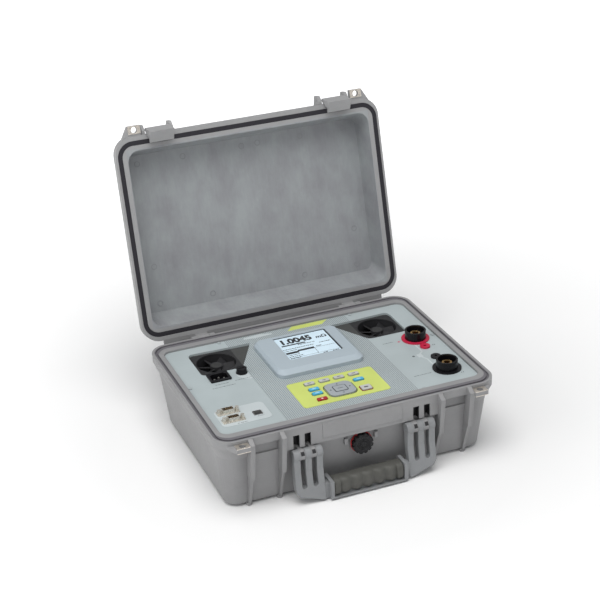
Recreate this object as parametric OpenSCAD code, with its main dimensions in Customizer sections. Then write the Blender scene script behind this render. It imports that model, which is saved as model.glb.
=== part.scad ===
// Portable micro ohmmeter in a moulded protector case, with its lid open.
// Origin: centre of the base's flat bottom. +X right, +Y to the rear, +Z up. Millimetres.
// Lid pieces are drawn as shut and turned back about the rear hinge to where the photograph has them.

/* [Case] */
// Width over the rim of the base and the lid
case_w = 400; // [385:1:420]
// Depth over the rim of the base
case_d = 300; // [292:1:312]
// Height of the base's rim above the bottom
rim_z = 110; // [106:1:124]
// Outer corner radius of the rim in plan
corner_r = 26; // [22:1:30]
// Height of the straight band under the rim
rim_band_h = 11.5; // [10:0.5:13]
// Width of the left and right rim, from the outer face to the panel's pocket
rim_w = 14.8; // [13:0.2:16]
// Width of the front and rear rim, from the outer face to the panel's pocket
rim_w_front = 23.1; // [22:0.1:24]
// Drop from the rim to the top of the panel
panel_drop = 3; // [2:0.5:4]
// Height of the sloped shoulder under the rim band
shoulder_h = 18; // [15:1:22]
// Step in of the body under the shoulder, on each side
shoulder_in = 7; // [5:0.5:8]
// Taper of the side walls from the shoulder to the bottom
side_taper = 8; // [5:1:10]
// Taper of the front and rear walls from the shoulder to the bottom
front_taper = 12; // [9:1:13]
// Radius like edge round the bottom
bottom_edge = 6; // [4:1:8]
// Thickness of the base's bottom
floor_t = 4; // [3:0.5:6]
// Width of the ledge that carries the panel
ledge_w = 7; // [5:0.5:8]
// Width of the seal groove in the base's rim
groove_w = 3; // [2.4:0.2:3.4]
// Depth of the seal groove in the base's rim
groove_deep = 2.2; // [1.8:0.2:3]

/* [Lid] */
// Outer height of the lid
lid_h = 50; // [47:1:56]
// Set-back of the lid's front and rear faces from the base's rim
lid_set = 2.5; // [1:0.5:4]
// Height of the lid's rim band
lid_band_h = 13; // [11:1:16]
// Depth of the lid's inner hollow
lid_deep = 44.5; // [42:0.5:46]
// Angle of the open lid, measured from shut
open_angle = 103.5; // [95:0.5:110]
// Width of the seal's channel in the lid
seal_w = 6.6; // [5.6:0.2:7]
// Depth of the seal's channel in the lid
seal_deep = 4; // [3:0.5:5]
// Distance of the seal's middle from the lid's left and right faces
seal_in = 6.3; // [5.8:0.1:7]
// Distance of the seal's middle from the lid's front and rear faces
seal_in_front = 9.5; // [8.8:0.1:10]
// Width of the lid's inner lip, from the seal's middle to the hollow
lid_lip = 10.5; // [9:0.5:11]
// Inward slope of the left and right inner walls over the hollow's depth
lid_draft = 3; // [2:0.5:4]
// Inward slope of the front and rear inner walls over the hollow's depth
lid_draft_front = 12; // [9:0.5:13]

/* [Hinge] */
// Distance of the lid's hinge axis behind the rim of the base
hinge_out = 5.2; // [5:0.1:6]
// Drop of the lid's hinge axis below the rim
hinge_drop = 6.8; // [6.6:0.1:8]
// Radius of the hinge knuckles
hinge_r = 6; // [5.4:0.1:6.2]
// Radius of the lid's hinge pins
hinge_pin_r = 2.5; // [2:0.1:3]
// Distance of each hinge from the side of the case
hinge_in = 85; // [75:1:95]
// Width of the lid's knuckle
hinge_lid_w = 18; // [14:1:22]
// Width of each knuckle of the base
hinge_base_w = 8; // [6:0.5:10]

/* [Front ribs and lugs] */
// Middle of each latch bay, from the side of the case
bay_in = 66; // [64:1:69]
// Clear width between the ribs of a latch bay
bay_w = 36.6; // [36:0.2:38]
// Thickness of the upper ribs
rib_w = 6.4; // [5:0.2:7]
// Thickness of the lower ribs
rib_low_w = 4; // [3:0.2:4.6]
// Reach of the ribs beyond the rim at their top
rib_out = 10; // [9:0.1:11]
// Height where the ribs step in
rib_step_z = 50; // [44:1:56]
// Width of a padlock lug
lug_w = 19; // [17:0.5:20]
// Reach of a padlock lug beyond the rim
lug_out = 12; // [11:0.2:12.6]
// Thickness of a padlock lug
lug_t = 5.6; // [5:0.2:6.4]
// Radius of the padlock holes
lug_hole_r = 4.5; // [3.5:0.25:5]
// Thickness of the steel lug plates
lug_plate_t = 1; // [0.8:0.1:1.4]
// Gap between the blank raised name plate and the handle's arms
name_gap = 4; // [3:0.5:8]
// Height of the blank raised name plate
name_h = 22; // [18:1:24]

/* [Latches] */
// Width of a latch lever
latch_w = 35; // [33:0.5:35.4]
// Drop of the latch lever below the parting line
latch_drop = 21.5; // [20:0.5:23]
// Wall of the latch lever
latch_wall = 2.2; // [1.8:0.1:2.4]
// Length of the latch link between its two pins
link_len = 10.5; // [10:0.1:11]
// Tilt of the link over the rim when the lid is open
link_tilt = 11; // [8:1:12]
// Swing of the link away from the rim as the lid shuts
link_swing = 33; // [32:1:36]
// Tilt of the lever over the rim when the lid is open
lever_tilt = 8; // [6:1:9]
// Radius of the latch pins
latch_pin_r = 1.3; // [1.1:0.1:1.4]

/* [Handle] */
// Height of the handle's pivot
handle_z = 70.5; // [67:0.5:71]
// Distance of the handle's pivot beyond the rim
handle_out = 2; // [1.6:0.2:3]
// Gap between each handle arm and the latch bay's inner rib
arm_gap = 8.8; // [7:0.2:11]
// Width of each handle arm
arm_w = 40; // [36:0.5:40]
// Width of the two slots in each arm
arm_slot_w = 7; // [6:0.2:7.6]
// Thickness of the handle arms
arm_t = 10; // [9:0.5:11]
// Outer radius of the handle's knuckles
knuckle_r = 7.8; // [7:0.1:8]
// Drop of the handle bar's middle below its pivot
handle_drop = 54.5; // [50:0.5:56]
// Height of the bar under the grip
bar_h = 15; // [12:1:16]
// Distance of each end of the rubber grip from the handle's arm
grip_set = 10; // [9:0.5:13]
// Height of the rubber grip
grip_h = 24; // [22:1:24.5]
// Thickness of the rubber grip from front to back
grip_t = 23; // [22:1:25]
// Radius of the handle's pins
handle_pin_r = 2.5; // [2:0.1:3]

/* [Purge valve] */
// Height of the purge valve
valve_z = 62; // [60:0.5:62.5]
// Radius of the valve's knob
valve_r = 14.5; // [13:0.5:15]
// Length of the valve's knob
valve_len = 6.5; // [5:0.5:8]
// Radius of the valve's stem
valve_stem_r = 5; // [4:0.5:6]

/* [Panel] */
// Thickness of the panel plate
panel_t = 3; // [2:0.5:4]
// Corner radius of the panel plate
panel_r = 12; // [10:1:14]
// Share of the panel's width that the dotted band down its middle has
band_share = 0.510811; // [0.503:0.001:0.513]
// Thickness of the printed films on the panel
film_t = 0.4; // [0.3:0.1:0.6]
// Radius of the panel screws
screw_r = 1.6; // [1.3:0.1:2]

/* [Display] */
// Width of the display housing
housing_w = 127; // [122:1:129]
// Depth of the display housing from front to back
housing_d = 111; // [106:1:112]
// Height of the display housing at its window
housing_h = 10; // [9:0.5:12]
// Height of the housing's outer edge
housing_edge_h = 6; // [5:0.5:7]
// Width of the window
window_w = 79; // [76:1:82]
// Depth of the window from front to back
window_d = 69.5; // [66:0.5:72]
// Depth of the window's recess
window_deep = 1.2; // [0.8:0.1:2]
// Thickness of the window's glass
glass_t = 1.4; // [1:0.1:2]

/* [Keypad] */
// Width of the keypad plate
keypad_w = 125; // [120:1:128]
// Depth of the keypad plate
keypad_d = 70; // [69:1:71]
// Thickness of the keypad plate
keypad_t = 1; // [0.8:0.1:1.4]
// Spacing of the upper row of keys
key_pitch = 21.6; // [20:0.2:22.4]
// Width of a key
key_w = 14; // [12:0.5:15]
// Depth of a key
key_d = 6.4; // [5.6:0.2:7]
// Height of the keys above the keypad plate
key_up = 1.8; // [1.4:0.1:2.4]
// Travel of the keys
key_travel = 0.8; // [0.6:0.1:1]
// Depth of the start key
start_d = 12; // [10:0.5:13]
// Width of the arrow pad
nav_w = 38; // [35:0.5:40]
// Depth of the arrow pad
nav_d = 34; // [31:0.5:35]
// Width of the enter key
enter_w = 16.5; // [14:0.5:18]
// Depth of the enter key
enter_d = 14; // [12:0.5:15]

/* [Fans] */
// Radius of the fan openings
fan_r = 28; // [25:0.5:28.5]
// Radius of the fan hubs
fan_hub_r = 9; // [8:0.5:11]
// Outer size of the square fan frames
fan_size = 60; // [58.5:0.5:61]
// Height of the fan frames
fan_h = 15; // [12:0.5:20]
// Number of blades on each fan
fan_blades = 7; // [5:1:9]
// Thickness of the dark fan tray under the panel
tray_t = 2; // [1.5:0.5:3]
// Thickness of the fan blades
blade_t = 1.4; // [1:0.1:2]

/* [Sockets] */
// Radius of the flange of a current terminal
term_flange_r = 20; // [18:0.5:20.5]
// Outer radius of a current terminal's shroud
term_r = 15; // [13:0.5:15.5]
// Height of a current terminal's shroud above its flange
term_h = 12.5; // [10:0.5:15]
// Radius of the brass contact in a current terminal
contact_r = 7; // [6:0.5:8]
// Radius of the hole in the brass contact
contact_hole_r = 4.5; // [3.5:0.25:5]
// Radius of the voltage sockets
volt_r = 7.2; // [6:0.2:7.5]
// Radius of the hole in a voltage socket
volt_hole_r = 2.05; // [2:0.05:2.2]
// Height of the voltage sockets above the panel
volt_h = 2.4; // [2:0.2:4]
// Width of the mains inlet's bezel
inlet_w = 30; // [29:0.5:31]
// Depth of the mains inlet's bezel
inlet_d = 25; // [24.5:0.5:26]
// Radius of the fuse cap
fuse_r = 7.2; // [6.5:0.1:8]
// Height of the fuse cap above the panel
fuse_h = 7; // [5:0.5:9]
// Distance between the two screws of a data connector
dsub_screws = 25; // [24.5:0.1:25.5]

/* [Hidden] */
$fn = 48;
hull_fn = 32;
cut = 1;
run = 0.3;
fit = 0.05;
skin = 0.01;

// case
half_w = case_w / 2;
half_d = case_d / 2;
lid_d = case_d - 2 * lid_set;
hinge_x = half_w - hinge_in;
bay_x = half_w - bay_in;
band_z = rim_z - rim_band_h;
shoulder_z = band_z - shoulder_h;
body_w = case_w - 2 * shoulder_in;
body_d = case_d - 2 * shoulder_in;
foot_w = body_w - 2 * side_taper;
foot_d = body_d - 2 * front_taper;
foot_r = 18;
body_r = 24;
pocket_gap = 0.2;
pocket_w = case_w - 2 * rim_w;
pocket_d = case_d - 2 * rim_w_front;
panel_w = pocket_w - 2 * pocket_gap;
panel_d = pocket_d - 2 * pocket_gap;
panel_z = rim_z - panel_drop;
panel_under = panel_z - panel_t;
band_w = panel_w * band_share;
well_w = pocket_w - 2 * ledge_w;
well_d = pocket_d - 2 * ledge_w;
function wall_y(z) = -foot_d / 2 - front_taper * z / shoulder_z;

// hinge and lid
hinge_y = half_d + hinge_out;
hinge_z = rim_z - hinge_drop;
hinge_lug_deep = 12;
lid_z = rim_z + run;
lid_top = lid_z + lid_h;
lid_half = lid_d / 2;
lid_step = 5;
lid_crown = 11;
lid_edge = 6;
crown_w = case_w - 2 * lid_crown;
crown_d = lid_d - 2 * lid_crown;
seal_ring_w = case_w - 2 * seal_in;
seal_ring_d = lid_d - 2 * seal_in_front;
lid_in_w = case_w - 2 * seal_in - 2 * lid_lip;
lid_in_d = lid_d - 2 * seal_in_front - 2 * lid_lip;
lid_in_r = 17;
lid_floor_r = 12;
seal_gap = 0.2;

// front pieces
rib_y = -half_d - rib_out;
rib_drop = 6;
rib_step_in = 7;
rib_low_in = 10;
bay_half = bay_w / 2;
rib_in_x = bay_x - bay_half - rib_w;
rib_out_x = bay_x + bay_half;
arm_x = rib_in_x - arm_gap - arm_w / 2;
grip_w = 2 * arm_x - arm_w - 2 * grip_set;
name_w = 2 * arm_x - arm_w - 2 * name_gap;
rib_root = 6;
rib_foot_out = 2.5;
rib_foot_r = 4;
bay_deep = 9;
bay_h = 17;
lug_x = rib_out_x + rib_w + lug_w / 2;
lug_y = -half_d - lug_out;
lug_root = 6;
lug_slant_w = 12;
lug_slant_d = 21;
lug_hole_y = lug_y + lug_out / 2;
lug_drop = 4;
lug_plate_top = rim_z - lug_drop;
lid_lug_z = lid_z + run;
pad_deep = 14;
pad_z = shoulder_z - 1;
name_out = 0.8;
name_top = 2.6;

// handle and its brackets
handle_y = -half_d - handle_out;
slot_off = (arm_w + arm_slot_w) / 6;
finger_w = arm_slot_w - 2 * run;
finger_root = 10;
dark_slot_w = 8.6;
dark_slot_deep = 11;
dark_slot_h = 19.5;
dark_slot_off = 4.6;
bar_out = 5.5;
bar_y = handle_y - bar_out;
bar_low = 13.4;
arm_front = 6;
arm_bend_z = 46;
arm_kick = 8;
arm_foot_z = handle_z - handle_drop - bar_low;
arm_corner = 4.5;
arm_corner_z = 13;
arm_hip_z = 20;
slot_low_z = 27;
edge_t = 1.8;
grip_edge = 1;
grip_round = 8;
grip_clear = 0.2;
cheek_w = 5;
core_t = 11;

// latches, in the frame of the shut lid
pin_out = 5.3;
pin_up = 11.7;
pin_y = -lid_half - pin_out;
pin_z = lid_z + pin_up;
latch_lug_t = 4.4;
latch_lug_h = 30;
latch_lug_top = 21;
latch_lug_low = 3;
latch_lug_in = 1.4;
link_boss = 2.3;
link_hub = 2.7;
link_arm_w = 3;
link_arm_t = 1.5;
link_arm_x = 8;
lever_top = 6.5;
lever_rim = 2.6;
hook_y = 5.5;
hook_lip = 2;
hook_root = 4.7;
lever_nose = 0.6;
lever_waist = 1.5;
lever_waist_top = 2.4;
lever_waist_low = 3.6;
lever_hip = 6.5;
face_back = link_boss + run + latch_wall;
locked_y = pin_y - link_len * sin(link_swing - link_tilt);
locked_z = pin_z - link_len * cos(link_swing - link_tilt);
rest_y = pin_y + link_len * sin(link_tilt);
rest_z = pin_z - link_len * cos(link_tilt);

// valve
valve_boss = 1.5;
valve_boss_t = 8;
ring_out = 0.9;
ring_t = 1.5;
nut_t = 6;
guard_w = 5;
guard_h = 9;
guard_t = 6;
guard_x = 21.5;
valve_face = wall_y(valve_z + valve_r + valve_boss);
knob_cap = 1.8;
knob_grips = 12;
knob_grip_r = 1.6;

// panel, with outlines as shares of its half width and half depth
px = panel_w / 2;
py = panel_d / 2;
fan_hole_shares = [
  [0.838, 0.385], [0.838, 0.770], [0.835, 0.805], [0.826, 0.835], [0.806, 0.852], [0.790, 0.854],
  [0.345, 0.823], [0.338, 0.819], [0.337, 0.811], [0.497, 0.372], [0.507, 0.349], [0.520, 0.334],
  [0.536, 0.325], [0.556, 0.321], [0.800, 0.321], [0.818, 0.326], [0.831, 0.342], [0.837, 0.362]
];
screw_shares = [[0.981, 0.1], [-0.981, 0.1], [0.55, 0.974], [-0.55, 0.974], [0.55, -0.974], [-0.55, -0.974]];
screw_head_r = 2.6;
screw_head_t = 1.2;
screw_len = 9;
screw_under = 0.1;
board_gap = 8;
free_d = panel_d - keypad_d - housing_d;
free_shares = [0.292818, 0.227901];
keypad_y = -py + free_shares[0] * free_d + keypad_d / 2;
housing_y = keypad_y + keypad_d / 2 + free_shares[1] * free_d + housing_d / 2;
housing_r = 12;
housing_in_r = 9;
housing_bevel_front = 10;
housing_bevel = 4;
window_x = 4.4;
window_rear = 9.45;
window_y = housing_y + housing_d / 2 - window_rear - window_d / 2;
window_lip = 2;
module_gap = 0.5;
module_edge = 1.6;
fan_shares = [0.664865, 0.588003];
tray_shares = [0.313514, 0.859459, 0.299921, 0.883978];
tray_x0 = tray_shares[0] * px;
tray_x1 = tray_shares[1] * px;
tray_y0 = tray_shares[2] * py;
tray_y1 = tray_shares[3] * py;
module_board_w = 2 * (tray_x0 - module_edge - window_x);
module_board_d = 84;
board_t = 1.6;
keypad_r = 5;
key_row_off = 23.5;
key_up_off = 6.5;
key_low_off = 5.5;
key_stop_off = 22.5;
key_start_off = 19;
nav_off = 7;
key_side_x = 32.5;
key_row_y = keypad_y + key_row_off;
key_blue_up_y = keypad_y + key_up_off;
key_blue_low_y = keypad_y - key_low_off;
key_stop_y = keypad_y - key_stop_off;
key_start_y = keypad_y - key_start_off;
key_r = 1.2;
key_places = [
  [-1.5 * key_pitch, key_row_y, key_w, key_d, [0.16, 0.17, 0.3]],
  [-0.5 * key_pitch, key_row_y, key_w, key_d, [0.16, 0.17, 0.3]],
  [0.5 * key_pitch, key_row_y, key_w, key_d, [0.16, 0.17, 0.3]],
  [1.5 * key_pitch, key_row_y, key_w, key_d, [0.16, 0.17, 0.3]],
  [-key_side_x, key_blue_up_y, key_w, key_d, [0.2, 0.3, 0.7]],
  [-key_side_x, key_blue_low_y, key_w, key_d, [0.2, 0.3, 0.7]],
  [-key_side_x, key_stop_y, key_w, key_d, [0.5, 0.08, 0.12]],
  [key_side_x, key_blue_up_y, key_w, key_d, [0.2, 0.3, 0.7]],
  [key_side_x, key_start_y, key_w, start_d, [0.5, 0.5, 0.52]]
];
key_flange = 1.1;
key_flange_t = 1.2;
nav_y = keypad_y - nav_off;
nav_r = 9;
nav_up = 1.6;
nav_clear = 0.5;
nav_angle = 2.5;
nav_drop = 1.7;
nav_body = 3.2;
nav_low = panel_under - nav_drop - key_flange_t;
enter_up = 0.4;
enter_room = key_flange + run;
pivot_gap = 0.8;
pivot_t = 2;
pivot_band = 2.2;
pivot_clear = 0.6;
fan_x = fan_shares[0] * px;
fan_y = fan_shares[1] * py;
fan_corner_r = 3;
fan_gap = 1;
fan_spoke_w = 3;
fan_spoke_t = 2;
fan_axle_r = 1.5;
fan_tilt = 38;
blade_w = 11;
inlet_share = 0.732432;
inlet_gap = 1;
inlet_r = 2;
inlet_t = 2;
inlet_body_w = 27;
inlet_body_d = 20;
inlet_x = -inlet_share * px;
inlet_y = tray_y0 - inlet_gap - inlet_body_d / 2;
inlet_body_h = 20;
inlet_well_w = 24;
inlet_well_d = 16;
inlet_well_h = 15;
inlet_chamfer = 4;
blade_pin_w = 4;
blade_pin_t = 2;
blade_pin_x = 7;
blade_pin_y = 4;
blade_off = 2;
blade_drop = 3;
fuse_off = 0.5;
fuse_ring = 1;
fuse_ring_t = 0.8;
fuse_x = -band_w / 2 - fuse_r - fuse_ring_t;
fuse_y = inlet_y - fuse_off;
fuse_body_h = 24;
fuse_body_r = 6.5;
fuse_bore_r = 4;
fuse_plug_h = 14;
fuse_slot_w = 1.6;
fuse_slot_deep = 1.2;
dsub_flange_w = 31;
dsub_flange_d = 12.4;
dsub_flange_t = 0.8;
dsub_top_w = 17;
dsub_low_w = 14.6;
dsub_shell_d = 8.4;
dsub_shell_h = 6;
dsub_wall = 0.6;
dsub_r = 1.6;
dsub_well_h = 0.6;
dsub_body_h = 9;
dsub_body_w = 19;
dsub_body_d = 10.6;
standoff_r = 2.8;
standoff_h = 5.4;
standoff_stud_r = 1.2;
standoff_stud_h = 6;
usb_w = 12;
usb_d = 10.8;
usb_wall = 0.6;
usb_tongue_w = 5.6;
usb_tongue_d = 3.2;
usb_up = 0.5;
usb_h = 12;
usb_floor_t = 2;
patch_out = 10.25;
patch_in = 11.95;
patch_front = 21.6;
patch_edge = 2.45;
patch_w = px - band_w / 2 - patch_out - patch_in;
patch_d = 45;
patch_r = 7;
patch_x = -px + patch_out + patch_w / 2;
patch_y = -py + patch_front + patch_d / 2;
dsub_front_off = 9.2;
dsub_rear_off = 13.1;
usb_off = 4.4;
usb_share = 0.59081;
dsub_x = -px + patch_out + patch_edge + dsub_flange_w / 2;
dsub_front_y = patch_y - dsub_front_off;
dsub_rear_y = patch_y + dsub_rear_off;
usb_room = patch_w - patch_edge - dsub_flange_w - usb_w;
usb_x = dsub_x + dsub_flange_w / 2 + usb_share * usb_room + usb_w / 2;
usb_y = patch_y - usb_off;
term_in = 30;
term_shares = [0.102605, 0.674822];
term_x = px - term_in;
term_rear_y = term_shares[0] * py;
term_front_y = -term_shares[1] * py;
term_flange_t = 1.6;
term_wall = 2.4;
contact_drop = 4.5;
contact_floor = 3;
stud_h = 22;
contact_deep = 20;
term_nut_t = 4;
term_nut_w = 3;
volt_in = 29;
volt_shares = [0.060606, 0.279461];
volt_x = px - volt_in;
volt_space = term_flange_r + volt_r;
volt_free = term_rear_y - term_front_y - 2 * volt_space - 2 * volt_r;
volt_rear_y = term_rear_y - volt_space - volt_shares[0] * volt_free;
volt_front_y = term_front_y + volt_space + volt_shares[1] * volt_free;
volt_body_r = 5;
volt_body_h = 22;
volt_deep = 20;

// inner units
inner_shares = [0.589226, 0.056117, 0.3367, 0.258137, 0.364759, 0.26936];
module_shares = [0.625521, 0.083403];
board_front = 5.9;
power_rear = 13.9;
main_board_w = inner_shares[0] * well_w;
main_board_d = 96;
main_board_x = -inner_shares[1] * well_w;
main_board_y = -well_d / 2 + board_front + main_board_d / 2;
main_board_h = 26;
spacer_r = 3;
spacer_in = 6;
power_w = inner_shares[2] * well_w;
power_d = 84;
power_h = 58;
power_x = -inner_shares[3] * well_w;
power_y = well_d / 2 - power_rear - power_d / 2;
power_r = 3;
module_w = inner_shares[4] * well_w;
module_d = module_shares[0] * well_d;
module_h = 46;
module_x = inner_shares[5] * well_w;
module_y = -module_shares[1] * well_d;
fin_n = 13;
fin_h = 18;
fin_t = 2;
bar_w = 14;
bar_t = 4;

// shared shapes
module rounded(w, d, r) {
  square([w - 2 * r, d], center = true);
  square([w, d - 2 * r], center = true);
  for (sx = [-1, 1]) {
    for (sy = [-1, 1]) {
      translate([sx * (w / 2 - r), sy * (d / 2 - r)])
        circle(r);
    }
  }
}

module slab(w, d, h, r) {
  linear_extrude(h)
    rounded(w, d, r);
}

module ring_slab(w, d, h, r, t) {
  linear_extrude(h)
    difference() {
      rounded(w, d, r);
      rounded(w - 2 * t, d - 2 * t, r - t);
    }
}

module thin_slab(w, d, r, z) {
  translate([0, 0, z])
    linear_extrude(skin)
      rounded(w, d, r, $fn = hull_fn);
}

module box(x, y, z, w, d, h) {
  translate([x - w / 2, y - d / 2, z])
    cube([w, d, h]);
}

module post(x, y, z, h, r) {
  translate([x, y, z])
    cylinder(h = h, r = r);
}

module x_bar(x, y, z, len, r) {
  translate([x - len / 2, y, z])
    rotate([0, 90, 0])
      cylinder(h = len, r = r);
}

module y_bar(x, y, z, len, r) {
  translate([x, y, z])
    rotate([-90, 0, 0])
      cylinder(h = len, r = r);
}

module side_plate(x, t, outline) {
  translate([x, 0, 0])
    rotate([90, 0, 90])
      linear_extrude(t)
        polygon(outline);
}

module both() {
  children();
  mirror([1, 0, 0])
    children();
}

module open_lid() {
  translate([0, hinge_y, hinge_z])
    rotate([-open_angle, 0, 0])
      translate([0, -hinge_y, -hinge_z])
        children();
}

// base
module lug_plan(t) {
  x0 = lug_x - lug_w / 2;
  x1 = lug_x + lug_w / 2;
  linear_extrude(t)
    polygon([
      [x0, -half_d + lug_root],
      [x0, lug_y],
      [x1, lug_y],
      [x1 + lug_slant_w, lug_y + lug_slant_d],
      [x1, lug_y + lug_slant_d]
    ]);
}

module rib(x) {
  side_plate(x, rib_w, [
    [-half_d + rib_root, rim_z - run],
    [-half_d - run, rim_z - run],
    [rib_y, rim_z - rib_drop],
    [rib_y + rib_step_in, rib_step_z],
    [wall_y(rib_step_z) + rib_root, rib_step_z],
    [wall_y(shoulder_z) + rib_root, shoulder_z]
  ]);
  side_plate(x + (rib_w - rib_low_w) / 2, rib_low_w, [
    [wall_y(rib_step_z) + rib_root, rib_step_z + run],
    [rib_y + rib_low_in, rib_step_z + run],
    [wall_y(rib_foot_r) - rib_foot_out, rib_foot_r],
    [wall_y(0) + rib_root, rib_foot_r]
  ]);
  post(x + rib_w / 2, wall_y(0) + rib_foot_r - rib_foot_out, 0, rib_foot_r + run, rib_foot_r);
}

module finger(x) {
  r = knuckle_r - run;
  x_bar(x, handle_y, handle_z, finger_w, r);
  box(x, handle_y + finger_root / 2, handle_z - r, finger_w, finger_root, 2 * r);
}

module hinge_lug(x) {
  x_bar(x, hinge_y, hinge_z, hinge_base_w, hinge_r);
  box(x, hinge_y - hinge_lug_deep / 2, hinge_z - hinge_r, hinge_base_w, hinge_lug_deep, 2 * hinge_r);
}

module front_side() {
  rib(rib_out_x);
  rib(rib_in_x);
  translate([0, 0, lug_plate_top - lug_plate_t - lug_t])
    lug_plan(lug_t);
  for (s = [-1, 1]) {
    finger(arm_x + s * slot_off);
    hinge_lug(hinge_x + s * (hinge_lid_w / 2 + run + hinge_base_w / 2));
  }
  box(guard_x, wall_y(valve_z) - guard_t / 2 + valve_boss, valve_z + valve_boss, guard_w, guard_t, guard_h);
}

module base_body() {
  hull() {
    thin_slab(foot_w - 2 * bottom_edge, foot_d - 2 * bottom_edge, foot_r - bottom_edge, 0);
    thin_slab(foot_w, foot_d, foot_r, bottom_edge);
    thin_slab(body_w, body_d, body_r, shoulder_z);
  }
  hull() {
    thin_slab(body_w, body_d, body_r, shoulder_z);
    thin_slab(case_w, case_d, corner_r, band_z);
  }
  translate([0, 0, band_z])
    slab(case_w, case_d, rim_band_h, corner_r);
  box(0, -half_d + pad_deep / 2, pad_z, 2 * rib_in_x + rib_w, pad_deep, band_z - pad_z + run);
  box(0, -half_d - name_out / 2 + run, rim_z - name_top - name_h, name_w, name_out + 2 * run, name_h);
  y_bar(0, valve_face, valve_z, valve_boss_t, valve_r + valve_boss);
  both()
    front_side();
}

module base_cuts() {
  translate([0, 0, floor_t])
    slab(well_w, well_d, rim_z, panel_r);
  translate([0, 0, panel_under])
    slab(pocket_w, pocket_d, rim_z, panel_r);
  translate([0, 0, rim_z - groove_deep])
    ring_slab(case_w - 2 * seal_in + groove_w, case_d - 2 * seal_in + groove_w, cut + groove_deep,
      corner_r - seal_in + groove_w / 2, groove_w);
  both() {
    // latch bay under the rim band
    box(bay_x, -half_d, band_z - bay_h, bay_w, 2 * bay_deep, bay_h);
    // dark pockets above the handle's knuckles
    for (s = [-1, 1]) {
      box(arm_x + s * slot_off + dark_slot_off + s * fit, -half_d, band_z - dark_slot_h,
        dark_slot_w, 2 * dark_slot_deep, dark_slot_h);
    }
    x_bar(arm_x, handle_y, handle_z, arm_w, handle_pin_r + fit);
    x_bar(hinge_x, hinge_y, hinge_z, hinge_lid_w + 2 * hinge_base_w + 2 * cut, hinge_pin_r + fit);
    // room for the lid's knuckle
    box(hinge_x, hinge_y, hinge_z - hinge_r - run, hinge_lid_w + 2 * run, 2 * hinge_r + 2 * run, rim_z);
    translate([0, lug_hole_y, 0])
      post(lug_x, 0, 0, rim_z + cut, lug_hole_r);
  }
  for (p = screw_shares) {
    post(p[0] * px, p[1] * py, panel_under - screw_len, rim_z, screw_r);
  }
  y_bar(0, -half_d, valve_z, half_d, valve_stem_r + fit);
}

module base_shell() {
  color([0.52, 0.53, 0.55])
    difference() {
      base_body();
      base_cuts();
    }
}

module hinge_pins() {
  color([0.75, 0.76, 0.78])
    both()
      x_bar(hinge_x, hinge_y, hinge_z, hinge_lid_w + 2 * hinge_base_w + 2 * run, hinge_pin_r);
}

module lug_pair(z_low, z_high) {
  plate_w = lug_w - 4 * run;
  plate_d = lug_out - 2 * run;
  both()
    for (z = [z_low, z_high]) {
      translate([0, 0, z])
        difference() {
          box(lug_x, lug_y + plate_d / 2, 0, plate_w, plate_d, lug_plate_t);
          post(lug_x, lug_hole_y, -cut, lug_plate_t + 2 * cut, lug_hole_r);
        }
    }
}

module lug_plates_base() {
  color([0.72, 0.68, 0.62])
    lug_pair(lug_plate_top - 2 * lug_plate_t - lug_t, lug_plate_top - lug_plate_t);
}

module lug_plates_lid() {
  color([0.78, 0.77, 0.74])
    open_lid()
      lug_pair(lid_lug_z, lid_lug_z + lug_plate_t + lug_t);
}

// lid, drawn shut
module latch_lug(x) {
  side_plate(x, latch_lug_t, [
    [-lid_half + rib_root, lid_z + latch_lug_low],
    [-lid_half - pin_out, lid_z + latch_lug_low],
    [rib_y, lid_z + latch_lug_low + rib_root],
    [rib_y, lid_z + latch_lug_top],
    [-lid_half + lid_step + rib_root, lid_z + latch_lug_h]
  ]);
}

module lid_body() {
  translate([0, 0, lid_z])
    slab(case_w, lid_d, lid_band_h, corner_r);
  hull() {
    thin_slab(case_w - 2 * lid_step, lid_d - 2 * lid_step, body_r, lid_z + lid_band_h - run);
    thin_slab(crown_w + lid_edge, crown_d + lid_edge, body_r, lid_top - lid_edge);
    thin_slab(crown_w - lid_edge, crown_d - lid_edge, foot_r, lid_top - skin);
  }
  both() {
    difference() {
      translate([0, 0, lid_lug_z + lug_plate_t])
        lug_plan(lug_t);
      post(lug_x, lug_hole_y, lid_z, lid_h, lug_hole_r);
    }
    difference() {
      union() {
        latch_lug(rib_out_x + run);
        latch_lug(rib_in_x + rib_w - run - latch_lug_t);
      }
      x_bar(bay_x, pin_y, pin_z, bay_w + 4 * latch_lug_t, latch_pin_r + fit);
    }
    // knuckle and its arm
    difference() {
      union() {
        x_bar(hinge_x, hinge_y, hinge_z, hinge_lid_w, hinge_r);
        box(hinge_x, hinge_y, hinge_z, hinge_lid_w, 2 * hinge_r - run, lid_z + lid_band_h - hinge_z);
        box(hinge_x, hinge_y - hinge_lug_deep / 2, lid_z, hinge_lid_w, hinge_lug_deep, lid_band_h);
      }
      x_bar(hinge_x, hinge_y, hinge_z, hinge_lid_w + 2 * cut, hinge_pin_r + fit);
    }
  }
}

module lid_shell() {
  color([0.55, 0.56, 0.58])
    open_lid()
      difference() {
        lid_body();
        hull() {
          thin_slab(lid_in_w, lid_in_d, lid_in_r, lid_z - cut);
          thin_slab(lid_in_w - 2 * lid_draft, lid_in_d - 2 * lid_draft_front, lid_floor_r, lid_z + lid_deep);
        }
        translate([0, 0, lid_z - cut])
          ring_slab(seal_ring_w + seal_w, seal_ring_d + seal_w, cut + seal_deep,
            corner_r - seal_in + seal_w / 2, seal_w);
      }
}

module lid_seal() {
  color([0.06, 0.06, 0.07])
    open_lid()
      translate([0, 0, lid_z])
        ring_slab(seal_ring_w + seal_w - 2 * seal_gap, seal_ring_d + seal_w - 2 * seal_gap, seal_deep,
          corner_r - seal_in + seal_w / 2 - seal_gap, seal_w - 2 * seal_gap);
}

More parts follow.
